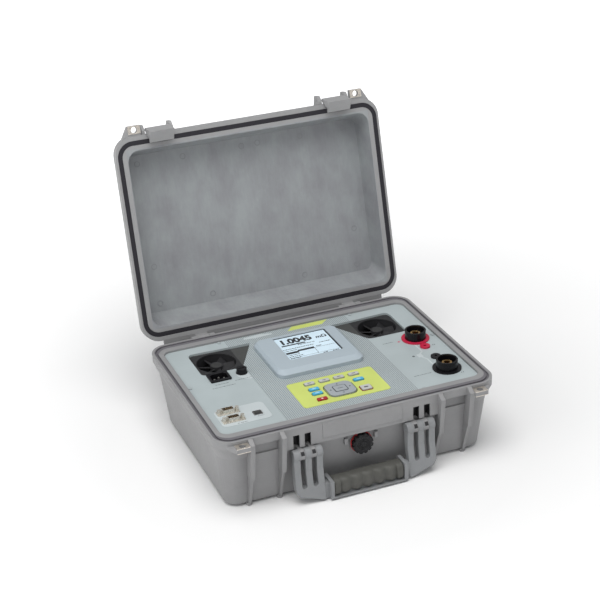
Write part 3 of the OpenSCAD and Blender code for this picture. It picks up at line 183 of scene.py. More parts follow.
class StageLooks(bpy.types.PropertyGroup):
    """Floor, lights and the photograph's camera."""

    floor: colour_prop("Floor", "Colour of the floor", (0.9, 0.9, 0.9))
    clear: length_prop("Shadow area", "Distance from the middle where the floor starts to turn white", 0.3)
    white: length_prop("White area", "Distance from the middle where the floor is white", 2.0)
    world: bpy.props.FloatProperty(
        name="Sky", description="Strength of the even light from all round", default=0.42, min=0)
    key: bpy.props.FloatProperty(
        name="Key light", description="Power of the overhead soft box, in watts", default=36, min=0)
    side: bpy.props.FloatProperty(
        name="Side light", description="Power of the left soft box, in watts", default=11, min=0)
    front: bpy.props.FloatProperty(
        name="Front light", description="Power of the front soft box, in watts", default=0.8, min=0)
    lens: bpy.props.FloatProperty(
        name="Lens", description="Focal length for a 36 mm sensor, in millimetres", default=92.07, min=10)
    eye: bpy.props.FloatVectorProperty(
        name="Eye", description="Place of the camera", size=3, unit="LENGTH", precision=4,
        default=(-0.68657, -1.7402, 1.10239))
    azimuth: bpy.props.FloatProperty(
        name="Azimuth", description="Turn of the camera round the object", default=math.radians(-20.89),
        subtype="ANGLE")
    elevation: bpy.props.FloatProperty(
        name="Elevation", description="Height angle of the camera", default=math.radians(25.56),
        subtype="ANGLE")
    roll: bpy.props.FloatProperty(
        name="Roll", description="Roll of the camera", default=math.radians(-2.54), subtype="ANGLE")


class Paint:
    """A procedural material, and short ways to add its nodes."""

    def __init__(self, name, rough=0.5, metal=0.0, coat=0.0, coat_rough=0.1, specular=0.5):
        self.material = bpy.data.materials.new(name)
        self.material.use_nodes = True
        self.tree = self.material.node_tree
        self.tree.nodes.clear()
        out = self.add("OutputMaterial")
        self.bsdf = self.add("BsdfPrincipled")
        self.join(self.bsdf.outputs["BSDF"], out.inputs["Surface"])
        self.place = self.add("TexCoord").outputs["Object"]
        for socket, value in (("Roughness", rough), ("Metallic", metal), ("Coat Weight", coat),
                              ("Coat Roughness", coat_rough), ("Specular IOR Level", specular)):
            self.bsdf.inputs[socket].default_value = value

    def math(self, operation, a, b=0.0):
        node = self.add("Math", operation=operation)
        self.join(a, node.inputs[0])
        self.join(b, node.inputs[1])
        return node.outputs[0]

    def times(self, *values):
        """Product of all the values."""
        product = values[0]
        for value in values[1:]:
            product = self.math("MULTIPLY", product, value)
        return product

    def add(self, kind, **settings):
        node = self.tree.nodes.new("ShaderNode" + kind)
        for key, value in settings.items():
            setattr(node, key, value)
        return node

    def join(self, source, target):
        """Links a socket to the target, or gives the target a number or a colour."""
        if isinstance(source, (int, float)):
            target.default_value = source
        elif hasattr(source, "is_output"):
            self.tree.links.new(source, target)
        else:
            target.default_value = tuple(source) + (1.0,) * (len(target.default_value) - len(source))

    def level(self, value, low, high, start=0.0, end=1.0):
        """Start where the value is low, end where it is high, and even steps between."""
        node = self.add("MapRange", clamp=True)
        for i, v in enumerate((value, low, high, start, end)):
            self.join(v, node.inputs[i])
        return node.outputs[0]

    def mix(self, factor, a, b):
        node = self.add("Mix", data_type="RGBA")
        self.join(factor, node.inputs[0])
        self.join(a, node.inputs[6])
        self.join(b, node.inputs[7])
        return node.outputs[2]

    def noise(self, size, detail=2.0, stretch=None, rough=0.5):
        """Noise whose features are about size metres across."""
        place = self.place
        if stretch:
            node = self.add("Mapping")
            self.join(place, node.inputs[0])
            self.join(stretch, node.inputs[3])
            place = node.outputs[0]
        node = self.add("TexNoise")
        self.join(place, node.inputs["Vector"])
        self.join(1 / size, node.inputs["Scale"])
        self.join(detail, node.inputs["Detail"])
        self.join(rough, node.inputs["Roughness"])
        return node.outputs[0]

    def cells(self, size):
        node = self.add("TexVoronoi", feature="SMOOTH_F1")
        self.join(self.place, node.inputs["Vector"])
        self.join(1 / size, node.inputs["Scale"])
        return node.outputs[0]

    def axes(self, place=None):
        node = self.add("SeparateXYZ")
        self.join(place or self.place, node.inputs[0])
        return node.outputs

    def inside(self, place, low, high):
        """1 inside a box that low and high give in millimetres, None leaves a side open."""
        axes = self.axes(place)
        mask = 1.0
        for i in range(3):
            if low[i] is not None:
                mask = self.times(self.math("GREATER_THAN", axes[i], low[i] * MM), mask)
            if high[i] is not None:
                mask = self.times(self.math("LESS_THAN", axes[i], high[i] * MM), mask)
        return mask

    def edges(self, radius):
        """Softened normals, and a mask of the edges that they round."""
        bevel = self.add("Bevel", samples=4)
        self.join(radius, bevel.inputs["Radius"])
        dot = self.add("VectorMath", operation="DOT_PRODUCT")
        self.join(bevel.outputs[0], dot.inputs[0])
        self.join(self.add("NewGeometry").outputs["Normal"], dot.inputs[1])
        return bevel.outputs[0], self.level(dot.outputs["Value"], 0.995, 0.86)

    def bump(self, height, deep, strength=1.0, normal=None):
        node = self.add("Bump")
        self.join(height, node.inputs["Height"])
        self.join(deep, node.inputs["Distance"])
        self.join(strength, node.inputs["Strength"])
        if normal is not None:
            self.join(normal, node.inputs["Normal"])
        return node.outputs[0]

    def finish(self, colour, rough=None, normal=None):
        self.join(colour, self.bsdf.inputs["Base Color"])
        if rough is not None:
            self.join(rough, self.bsdf.inputs["Roughness"])
        if normal is not None:
            self.join(normal, self.bsdf.inputs["Normal"])
        return self.material


def shade(colour, factor):
    """The colour made lighter or darker."""
    return tuple(min(1.0, c * factor) for c in colour)


def moulded(name, colour, grain, deep, edge=0.8 * MM, rough=0.5, vary=0.07, wear=0.16, coat=0.0, cover=None):
    """Moulded plastic: soft grain, faint flow marks, lighter rubbed edges. cover may colour parts of it."""
    p = Paint(name, rough=rough, coat=coat, coat_rough=0.25)
    broad = p.noise(60 * MM, 3)
    fine = p.noise(5 * MM, 3)
    mottle = p.math("ADD", p.times(broad, 0.7), p.times(fine, 0.3))
    base = p.mix(p.level(mottle, 0.32, 0.68), shade(colour, 1 - vary), shade(colour, 1 + vary))
    if cover is not None:
        base = cover(p, base)
    soft, mask = p.edges(edge)
    rubbed = p.times(mask, p.level(p.noise(9 * MM, 3), 0.35, 0.7, 0.2, 1.0), wear)
    base = p.mix(rubbed, base, shade(colour, 1.7))
    pebbles = p.math("ADD", p.times(p.cells(grain), 0.6), p.times(p.noise(grain * 0.6, 2), 0.6))
    normal = p.bump(pebbles, deep, 0.8, p.bump(broad, 0.25 * MM, 0.35, soft))
    roughness = p.level(fine, 0.3, 0.7, rough - 0.05, rough + 0.07)
    return p.finish(base, roughness, normal)


def rubber(name, colour, rough=0.6, grain=0.5 * MM):
    """Dusty rubber with lighter rubbed edges."""
    p = Paint(name, rough=rough, specular=0.35)
    dust = p.noise(7 * MM, 4)
    base = p.mix(p.level(dust, 0.35, 0.7), shade(colour, 0.93), shade(colour, 1.1))
    soft, mask = p.edges(0.5 * MM)
    base = p.mix(p.times(mask, 0.35), base, shade(colour, 1.8))
    return p.finish(base, p.level(dust, 0.3, 0.7, rough - 0.08, rough + 0.1),
                    p.bump(p.noise(grain, 2), 0.03 * MM, 0.7, soft))


def metal(name, colour, rough=0.3, brushed=(1, 1, 1), tarnish=0.35, bare=1.0):
    """Metal brushed along the axis whose stretch is small, with tarnished patches. bare says how metallic."""
    p = Paint(name, rough=rough, metal=bare)
    patches = p.noise(4 * MM, 4)
    lines = p.noise(0.35 * MM, 2, brushed)
    base = p.mix(p.level(patches, 0.4, 0.75), colour, shade(colour, 1 - tarnish))
    soft, mask = p.edges(0.25 * MM)
    base = p.mix(p.times(mask, 0.5), base, shade(colour, 1.35))
    return p.finish(base, p.level(lines, 0.3, 0.7, rough - 0.08, rough + 0.14),
                    p.bump(lines, 0.012 * MM, 0.6, soft))


def film(name, colour, other=None, dots=0.0, rough=0.42, coat=0.0):
    """Printed or painted film: fine orange peel, and a diagonal dot print where dots gives its pitch."""
    p = Paint(name, rough=rough, coat=coat, coat_rough=0.15)
    haze = p.noise(45 * MM, 3)
    base = p.mix(p.level(haze, 0.35, 0.65), shade(colour, 0.965), shade(colour, 1.03))
    if dots:
        x, y, _ = p.axes()
        diagonal = 0.7071
        turn = 2 * math.pi / dots * diagonal
        waves = [p.math("SINE", p.times(p.math(kind, x, y), turn)) for kind in ("ADD", "SUBTRACT")]
        base = p.mix(p.level(p.times(*waves), -0.05, 0.3), base, other)
    speck = p.level(p.noise(0.8 * MM, 2), 0.3, 0.7)
    base = p.mix(p.times(speck, 0.08), base, shade(colour, 0.75))
    soft, mask = p.edges(0.35 * MM)
    base = p.mix(p.times(mask, 0.3), base, shade(colour, 1.4))
    return p.finish(base, p.level(haze, 0.3, 0.7, rough - 0.05, rough + 0.06),
                    p.bump(p.noise(0.35 * MM, 2), 0.008 * MM, 0.6, soft))


def gloss(name, colour, rough, other=None, split=None, worn=0.05):
    """Smooth moulded plastic. Where split gives a box, the other colour fills it."""
    p = Paint(name, rough=rough, coat=0.05, coat_rough=0.12, specular=0.2)
    smear = p.noise(11 * MM, 4)
    if split:
        base = p.mix(p.inside(None, *split), colour, other)
    else:
        base = p.mix(p.level(smear, 0.4, 0.7), colour, shade(colour, 1.5))
    soft, mask = p.edges(0.4 * MM)
    base = p.mix(p.times(mask, worn), base, (0.3, 0.3, 0.3))
    return p.finish(base, p.level(smear, 0.3, 0.7, rough - 0.04, rough + 0.12),
                    p.bump(p.noise(0.6 * MM, 2), 0.01 * MM, 0.5, soft))


def wear_on(material, *nodes):
    """Gives the CAD nodes this material."""
    for name in nodes:
        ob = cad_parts[name]
        if not ob.data.materials:
            ob.data.materials.append(material)
        for slot in ob.material_slots:
            slot.material = material


def in_mm(corners):
    return [corner / MM for corner in corners]


def middle(low, high):
    """The middle of a box seen from above."""
    return (low.x + high.x) / 2, (low.y + high.y) / 2


def piece(name, bm, material, body, smooth=True):
    """Turns a bmesh into an object that rides on a body."""
    bmesh.ops.recalc_face_normals(bm, faces=bm.faces)
    mesh = bpy.data.meshes.new(name)
    bm.to_mesh(mesh)
    bm.free()
    ob = bpy.data.objects.new(name, mesh)
    bpy.context.scene.collection.objects.link(ob)
    mesh.materials.append(material)
    if smooth:
        mesh.shade_smooth()
    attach(ob, body)
    return ob


def skin(bm, rings):
    """Faces between neighbouring rings, which all have the same number of points."""
    for a, b in zip(rings, rings[1:]):
        for i in range(len(a)):
            j = (i + 1) % len(a)
            bm.faces.new((a[i], a[j], b[j], b[i]))


def solid(bm, rings):
    """A closed body: the skin over its rings and a face at each end."""
    bm.faces.new(rings[0][::-1])
    bm.faces.new(rings[-1])
    skin(bm, rings)


def prism(bm, outline, low, high):
    """A straight prism over an outline of (x, y) points."""
    solid(bm, [[bm.verts.new(Vector((x, y, z)) * MM) for x, y in outline] for z in (low, high)])


def frame_prism(bm, outer, inner, low, high):
    """A flat ring between two outlines with the same number of points."""
    rows = [[bm.verts.new(Vector((x, y, z)) * MM) for x, y in line] for line, z in
            ((outer, low), (outer, high), (inner, high), (inner, low))]
    skin(bm, rows + rows[:1])


def rounded(x, y, w, d, r, steps=6):
    """Outline of a rounded rectangle round (x, y)."""
    out = []
    for sx, sy, start in ((1, 1, 0), (-1, 1, 90), (-1, -1, 180), (1, -1, 270)):
        for k in range(steps + 1):
            a = math.radians(start + 90 * k / steps)
            out.append((x + sx * (w / 2 - r) + r * math.cos(a), y + sy * (d / 2 - r) + r * math.sin(a)))
    return out


def oval(x, y, rx, ry, n=40):
    """Outline of an oval round (x, y)."""
    turns = [2 * math.pi * k / n for k in range(n)]
    return [(x + rx * math.cos(a), y + ry * math.sin(a)) for a in turns]


def stroke(bm, a, b, width, low, high):
    """A straight printed line from a to b."""
    a, b = Vector(a), Vector(b)
    along = (b - a).normalized()
    side = Vector((-along.y, along.x)) * width / 2
    prism(bm, [tuple(a - side), tuple(b - side), tuple(b + side), tuple(a + side)], low, high)


def dashes(bm, x0, x1, y, height, low, high, words, slope=0.0):
    """A row of small printed dashes, whose lengths words gives in turn."""
    shortest, space = 0.3, 0.35
    x, k = x0, 0
    while x < x1:
        word = words[k % len(words)]
        w = min(word, x1 - x)
        if w > shortest:
            lower = y + slope * (x - x0) - height / 2
            upper = y + slope * (x - x0) + height / 2
            prism(bm, [(x, lower), (x + w, lower), (x + w, upper), (x, upper)], low, high)
        x += w + word * space
        k += 1


def lathe(bm, profile, centre, axis="Z", n=48):
    """Turns (radius, height) points about an axis through centre."""
    rings = []
    for r, h in profile:
        ring = []
        # A point on the axis is one vertex, and any other point is a ring of n.
        for k in range(n if r > 0 else 1):
            a = 2 * math.pi * k / n
            u, v = r * math.cos(a), r * math.sin(a)
            point = (u, v, h) if axis == "Z" else (u, -h, v)
            ring.append(bm.verts.new((Vector(centre) + Vector(point)) * MM))
        rings.append(ring)
    for a, b in zip(rings, rings[1:]):
        if len(a) == len(b):
            skin(bm, (a, b))
            continue
        for k in range(n):
            j = (k + 1) % n
            bm.faces.new((a[0], b[k], b[j]) if len(a) == 1 else (a[k], a[j], b[0]))


def text(bm, words, x, y, height, z, heavy=0.0, narrow=1.0):
    """Generic digits or a unit, as flat print at height z with its lower left corner at (x, y)."""
    curve = bpy.data.curves.new("words", "FONT")
    curve.body = words
    curve.size = 1.0
    curve.offset = heavy
    ob = bpy.data.objects.new("words", curve)
    mesh = bpy.data.meshes.new_from_object(ob)
    size = height / max(v.co.y for v in mesh.vertices)
    left = min(v.co.x for v in mesh.vertices)
    known_verts, known_faces = len(bm.verts), len(bm.faces)
    bm.from_mesh(mesh)
    for v in list(bm.verts)[known_verts:]:
        v.co = Vector((x + (v.co.x - left) * size * narrow, y + v.co.y * size, z)) * MM
    for f in list(bm.faces)[known_faces:]:
        if f.normal.z < 0:
            f.normal_flip()
    bpy.data.meshes.remove(mesh)
    bpy.data.objects.remove(ob)
    bpy.data.curves.remove(curve)


def lid_open(point):
    """Where a point of the shut lid, in millimetres, is with the lid open."""
    turn = Matrix.Rotation(-LID_ANGLE, 3, "X")
    return HINGE + turn @ (Vector(point) * MM - HINGE)


class OHM_OT_stage(bpy.types.Operator):
    """Floor, soft lights and the photograph's camera"""

    bl_idname = "ohmmeter.stage"
    bl_label = "Stage"

    def execute(self, context):
        looks = context.scene.ohm_stage
        half_floor = 9
        bm = bmesh.new()
        bmesh.ops.create_grid(bm, x_segments=8, y_segments=8, size=half_floor)
        mesh = bpy.data.meshes.new("studio_floor")
        bm.to_mesh(mesh)
        bm.free()
        floor = bpy.data.objects.new("studio_floor", mesh)
        context.scene.collection.objects.link(floor)
        p = Paint("studio_paper", rough=0.8, specular=0.1)
        away = p.add("VectorMath", operation="LENGTH")
        p.join(p.place, away.inputs[0])
        p.join((1.0, 1.0, 1.0), p.bsdf.inputs["Emission Color"])
        p.join(p.level(away.outputs["Value"], looks.clear, looks.white), p.bsdf.inputs["Emission Strength"])
        mesh.materials.append(p.finish(
            p.mix(p.level(p.noise(0.6, 2), 0.3, 0.7), shade(looks.floor, 0.985), looks.floor)))
        world = bpy.data.worlds.new("studio")
        world.use_nodes = True
        world.node_tree.nodes["Background"].inputs["Color"].default_value = (0.97, 0.985, 1.0, 1)
        world.node_tree.nodes["Background"].inputs["Strength"].default_value = looks.world
        context.scene.world = world
        context.scene.view_settings.view_transform = "Standard"
        for name, size, place, power, colour in (
                ("key_box", 1.7, (-0.35, -0.55, 2.1), looks.key, (1, 0.99, 0.98)),
                ("side_box", 1.6, (-2.2, -0.3, 1.1), looks.side, (1, 1, 1)),
                ("front_box", 1.4, (0.9, -2.4, 1.3), looks.front, (0.97, 0.98, 1))):
            light = bpy.data.lights.new(name, "AREA")
            light.shape = "SQUARE"
            light.size = size
            light.energy = power
            light.color = colour
            ob = bpy.data.objects.new(name, light)
            ob.location = place
            ob.rotation_euler = (Vector((0, 0.05, 0.12)) - Vector(place)).to_track_quat("-Z", "Y").to_euler()
            context.scene.collection.objects.link(ob)
        camera = bpy.data.cameras.new("photo_view")
        camera.lens = looks.lens
        camera.sensor_width = 36
        camera.clip_end = 60
        ob = bpy.data.objects.new("photo_view", camera)
        az, el, roll = looks.azimuth, looks.elevation, looks.roll
        back = Vector((math.sin(az) * math.cos(el), -math.cos(az) * math.cos(el), math.sin(el)))
        right = (-back).cross(Vector((0, 0, 1))).normalized()
        up = right.cross(-back)
        turned = right * math.cos(roll) + up * math.sin(roll)
        upward = up * math.cos(roll) - right * math.sin(roll)
        ob.matrix_world = Matrix.Translation(looks.eye) @ Matrix((turned, upward, back)).transposed().to_4x4()
        context.scene.collection.objects.link(ob)
        context.scene.camera = ob
        return {"FINISHED"}


class OHM_OT_case(bpy.types.Operator):
    """Plastic, rubber and steel of the case, lid, latches and handle"""

    bl_idname = "ohmmeter.case"
    bl_label = "Case and lid"

    def execute(self, context):
        looks = context.scene.ohm_case
        grain = (looks.grain, looks.grain_deep)

        def rim_painted_shade(p, base):
            """Painted shade: the seal groove's shade on the ledge round the rim, the shade in the pockets
            over the handle's arms and the shade in the knuckles' windows.
            """
            x, y, z = p.axes()

            def beyond(half_x, half_y, r):
                """Distance from the corner arcs' centres of a rounded rectangle, and 0 inside them."""
                reach = [p.math("MAXIMUM", p.math("SUBTRACT", p.math("ABSOLUTE", a), (h - r) * MM), 0.0)
                         for a, h in ((x, half_x), (y, half_y))]
                return p.math("SQRT", p.math("ADD", *(p.math("POWER", a, 2.0) for a in reach)))

            # Painted shade of the seal groove: the ledge between these two rounded outlines, above the panel,
            # is darkened.
            outer = p.level(beyond(196.6, 146.6, 23.0), 22.8 * MM, 23.2 * MM, 1, 0)
            inner = p.level(beyond(191.8, 136.8, 19.0), 18.8 * MM, 19.2 * MM)
            above = p.math("GREATER_THAN", z, 107.2 * MM)
            base = p.mix(p.times(outer, inner, above), base, looks.ledge_shade)
            # Painted shade: the recessed pockets over the handle's arms are painted near black.
            pocket_shade = p.times(p.inside(None, (-103, -148.5, 79.2), (103, -138.8, 98.4)),
                             p.math("GREATER_THAN", p.math("ABSOLUTE", x), 68 * MM))
            arm_middle, window_middle = 80.5, 7.83
            off = p.math("ABSOLUTE", x)
            for distance in (arm_middle, window_middle):
                off = p.math("ABSOLUTE", p.math("SUBTRACT", off, distance * MM))
            # Painted shade: the windows between the handle's knuckles are painted near black, in the pockets'
            # colour.
            window_shade = p.times(p.math("LESS_THAN", off, 2.4 * MM),
                             p.inside(None, (None, None, 71.8), (None, -154.2, 76.6)))
            return p.mix(p.math("MAXIMUM", pocket_shade, window_shade), base, looks.pocket_shade)

        # The case plastic carries the painted shade of the rim's ledge, the pockets and the knuckles'
        # windows.
        wear_on(moulded("case_plastic", looks.plastic, *grain, edge=looks.edge, cover=rim_painted_shade),
                "base_shell")

        def lining(p, base):
            """The bare, clouded moulding inside the lid, found where the shut lid's inside is."""
            node = p.add("Mapping")
            turn = Matrix.Rotation(LID_ANGLE, 3, "X")
            p.join(p.place, node.inputs[0])
            p.join(tuple(HINGE - turn @ HINGE), node.inputs[1])
            p.join((LID_ANGLE, 0.0, 0.0), node.inputs[2])
            shut = node.outputs[0]
            mask = p.inside(shut, (-183.9, -129.4, None), (183.9, 129.4, 155.2))
            cloud = p.noise(34 * MM, 5, (1, 0.6, 0.6), 0.6)
            streak = p.noise(2.6 * MM, 3, (1, 0.12, 0.12))
            worn = p.math("ADD", p.times(cloud, 0.86), p.times(streak, 0.14))
            bare = p.mix(p.level(worn, 0.34, 0.66), shade(looks.inside, 0.84), looks.inside_worn)
            return p.mix(mask, base, bare)

        wear_on(moulded("lid_plastic", looks.plastic, *grain, edge=looks.edge, cover=lining), "lid_shell")
        wear_on(moulded("latch_plastic", shade(looks.plastic, 1.12), *grain, edge=0.8 * MM, wear=0.3),
                "latch_lever_left", "latch_lever_right", "latch_link_left", "latch_link_right")
        wear_on(moulded("handle_plastic", looks.handle, looks.grain * 0.7, looks.grain_deep * 0.6,
                        edge=1.2 * MM, rough=0.4, wear=0.35), "handle_frame")
        wear_on(rubber("seal_rubber", looks.seal), "lid_seal")
        wear_on(metal("pin_steel", looks.pin_steel, 0.3, (0.03, 1, 1)),
                "hinge_pins", "handle_pins", "latch_pins")
        wear_on(metal("lug_steel", looks.lug_steel, 0.3, (0.05, 1, 1), 0.25, bare=0.85),
                "lug_plates_base", "lug_plates_lid")

        # The flange along the lid's hinge side, as (y, z) profiles of the shut lid.
        full = ((147, 110.35), (156, 110.35), (160, 106.4), (160.3, 103.2), (162, 103.2), (161.8, 107.2),
                (157, 112.2), (147, 112.2))
        short = ((147, 110.35), (155.4, 110.35), (158.5, 109.5), (160.2, 107.9), (161.6, 109.2), (157, 112.2),
                 (147, 112.2))
        hinge, half = looks.hinge_middle / MM, looks.hinge_half / MM
        inner, outer = hinge - half, hinge + half
        lap, lid_knuckle, past_hinge = 0.3, 8.9, 38
        spans = [(-inner, inner, full)]
        for side in (-1, 1):
            spans.append((side * outer, side * (outer + past_hinge), full))
            spans.append((side * (inner - lap), side * (hinge - lid_knuckle), short))
            spans.append((side * (outer + lap), side * (hinge + lid_knuckle), short))
        flange = bmesh.new()
        for x0, x1, profile in spans:
            solid(flange, [[flange.verts.new(lid_open((x, y, z))) for y, z in profile] for x in (x0, x1)])
        plastic = moulded("flange_plastic", shade(looks.plastic, 0.8), *grain)
        piece("lid_hinge_flange", flange, plastic, "lid", smooth=False)

        lid_roof = 154.55
        r = looks.mark_r / MM
        marks = bmesh.new()
        for x, y in ((-160, -103), (-92, -103), (-2, -103), (23, -104), (90, -103), (158, -104), (-158, 48),
                     (-157, 103), (-76, 104), (158, 49), (156, 104), (70, 104)):
            known = len(marks.verts)
            lathe(marks, [(r - 0.7, 0), (r - 0.5, -0.25), (r, -0.3), (r + 0.3, 0)], (x, y, lid_roof), n=28)
            for v in list(marks.verts)[known:]:
                v.co = lid_open(v.co / MM)
        plastic = moulded("mark_plastic", shade(looks.inside, 0.86), *grain)
        piece("lid_mould_marks", marks, plastic, "lid")
        return {"FINISHED"}


class OHM_OT_grip(bpy.types.Operator):
    """Scalloped rubber grip in place of the plain one"""

    bl_idname = "ohmmeter.grip"
    bl_label = "Grip"

    def execute(self, context):
        looks = context.scene.ohm_grip
        low, high = in_mm(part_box("handle_grip"))
        mid = (low + high) / 2
        half = (high - low) / 2
        n, steps = 64, 252
        end_soft, bumps_end, squareness = 3.0, 41, 0.62
        ribs_middle, ribs_half = 24.5, 9.6
        bm = bmesh.new()
        rings = []
        for i in range(steps + 1):
            x = low.x + (high.x - low.x) * i / steps
            end = min(x - low.x, high.x - x)
            fall = 1 - 0.16 * (1 - min(1.0, end / end_soft)) ** 2
            swell = 0.5 + 0.5 * math.cos(2 * math.pi * x / (looks.bump / MM))
            swell = 1 if abs(x) > bumps_end else swell ** 0.7
            deep = looks.bump_deep / MM * (1 - swell)
            ribbed = abs(abs(x) - ribs_middle) < ribs_half and (abs(x) / (looks.rib / MM)) % 1 < 0.5
            ring = []
            for k in range(n):
                a = 2 * math.pi * k / n
                c, s = math.cos(a), math.sin(a)
                y = half.y * fall * math.copysign(abs(c) ** squareness, c)
                z = half.z * fall * math.copysign(abs(s) ** squareness, s)
                if c < 0:
                    y += deep * abs(c) ** 0.8
                if s < 0:
                    z += deep * 0.7 * abs(s)
                if ribbed and c > 0.2 and s > 0.2:
                    y -= looks.rib_deep / MM * 0.75
                    z -= looks.rib_deep / MM
                ring.append(bm.verts.new(Vector((x, mid.y + y, mid.z + z)) * MM))
            rings.append(ring)
        solid(bm, rings)
        ob = piece("grip_rubber", bm, rubber("grip_rubber", looks.rubber, 0.5, 0.7 * MM), "handle")
        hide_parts("handle_grip")
        return {"FINISHED"}


class OHM_OT_valve(bpy.types.Operator):
    """Purge valve: black knob with its slotted face, red ring"""

    bl_idname = "ohmmeter.valve"
    bl_label = "Purge valve"

    def execute(self, context):
        looks = context.scene.ohm_valve
        wear_on(gloss("valve_black", looks.knob, 0.34), "valve_knob", "valve_body")
        wear_on(gloss("valve_red", looks.ring, 0.35), "valve_ring")
        low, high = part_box("valve_knob")
        mid = (low + high) / 2 / MM
        centre = Vector((mid.x, low.y / MM, mid.z))
        bars, tilt, half_wide, bar_in, bar_out = 6, 0.35, 0.7, 3.2, 9.2
        bm = bmesh.new()
        lathe(bm, [(12.2, -0.2), (12.2, 0.25), (11.6, 0.6), (9.4, 0.6), (8.9, 0.2), (8.9, -0.2)],
              centre, "Y")
        lathe(bm, [(0, 0.9), (3.1, 0.9), (3.6, 0.5), (3.6, -0.2)], centre, "Y")
        for k in range(bars):
            a = 2 * math.pi * k / bars + tilt
            out = Vector((math.cos(a), 0, math.sin(a)))
            side = Vector((-math.sin(a), 0, math.cos(a))) * half_wide
            corners = [centre + out * reach + side * way
                       for reach, way in ((bar_in, -1), (bar_out, -1), (bar_out, 1), (bar_in, 1))]
            solid(bm, [[bm.verts.new((q + Vector((0, d, 0))) * MM) for q in corners] for d in (0.2, -0.5)])
        black = gloss("valve_face_black", shade(looks.knob, 1.4), 0.3, worn=0.2)
        piece("valve_face", bm, black, "valve")
        return {"FINISHED"}


class OHM_OT_panel(bpy.types.Operator):
    """Painted panel, dotted band, screws and the fine printed marks"""

    bl_idname = "ohmmeter.panel"
    bl_label = "Panel"

    def execute(self, context):
        looks = context.scene.ohm_panel
        wear_on(film("panel_paint", looks.paint), "control_panel")
        wear_on(film("band_print", looks.band, looks.dots, looks.dot_pitch), "panel_band")
        wear_on(film("pale_film", looks.pale), "data_patch")
        wear_on(metal("screw_steel", looks.screws, 0.4, tarnish=0.1, bare=0.1), "panel_screws")
        sunk = 0.05
        on_panel = (PANEL_TOP - sunk, PANEL_TOP + 0.06)
        on_film = (FILM_TOP - sunk, FILM_TOP + 0.06)
        ink = bmesh.new()
        for x0, x1, y, slope in ((106, 121.5, 17, 0), (104.5, 131, -88.3, 0.02), (-147, -128, 7.6, 0.01),
                                 (-154, -121, -0.4, 0.02), (-118, -91, 9.2, 0.02)):
            dashes(ink, x0, x1, y, 1.0, *on_panel, (2.1, 1.2, 2.8, 1.6, 0.9), slope)
        for x, y in ((168.5, -15), (171, -15.4), (167, -105.5), (170, -105.2)):
            stroke(ink, (x, y - 1.4), (x + 0.3, y + 1.4), 0.9, *on_panel)
        prism(ink, rounded(129, -35, 3.4, 3.8, 1), PANEL_TOP - sunk, PANEL_TOP + 0.07)
        dashes(ink, -155, -141, -102.4, 0.8, *on_film, (3.2, 1.4, 2.2))
        dashes(ink, -124.5, -116, -95.8, 0.8, *on_film, (2.2, 1.4))
        dark = film("dark_ink", looks.ink, rough=0.5)
        piece("panel_fine_print", ink, dark, "case", smooth=False)

        pale = bmesh.new()
        prism(pale, oval(-95, 21, 16, 15.6), PANEL_TOP - sunk, PANEL_TOP + 0.05)
        for a, b in (((142, 4), (146, -6)), ((146, -6), (146, -27)), ((146, -27), (139, -33)),
                     ((139, -42), (143, -50)), ((143, -50), (143, -72))):
            stroke(pale, a, b, 2.2, PANEL_TOP - sunk, PANEL_TOP + 0.04)
        prism(pale, rounded(138, -37, 7.5, 9.5, 0.8), PANEL_TOP - sunk, PANEL_TOP + 0.09)
        prism(pale, [(-67, 118), (-50, 115), (-24, 116.2), (-22, 119), (-40, 123.6), (-64, 122.5)],
              *on_film)
        light = film("pale_ink", looks.pale)
        piece("panel_pale_print", pale, light, "case", smooth=False)

        lime = bmesh.new()
        prism(lime, [(0, 114.6), (54, 114.6), (66, 125.6), (10, 125.6)], FILM_TOP - sunk, FILM_TOP + 0.08)
        accent = film("accent_film", looks.accent)
        piece("band_accent", lime, accent, "case", smooth=False)

        spot = bmesh.new()
        lathe(spot, [(0, 0.12), (1.5, 0.12), (1.8, -sunk)], (129.5, 14, PANEL_TOP), n=24)
        piece("red_spot", spot, film("red_ink", tone(200, 50, 90)), "case")
        return {"FINISHED"}


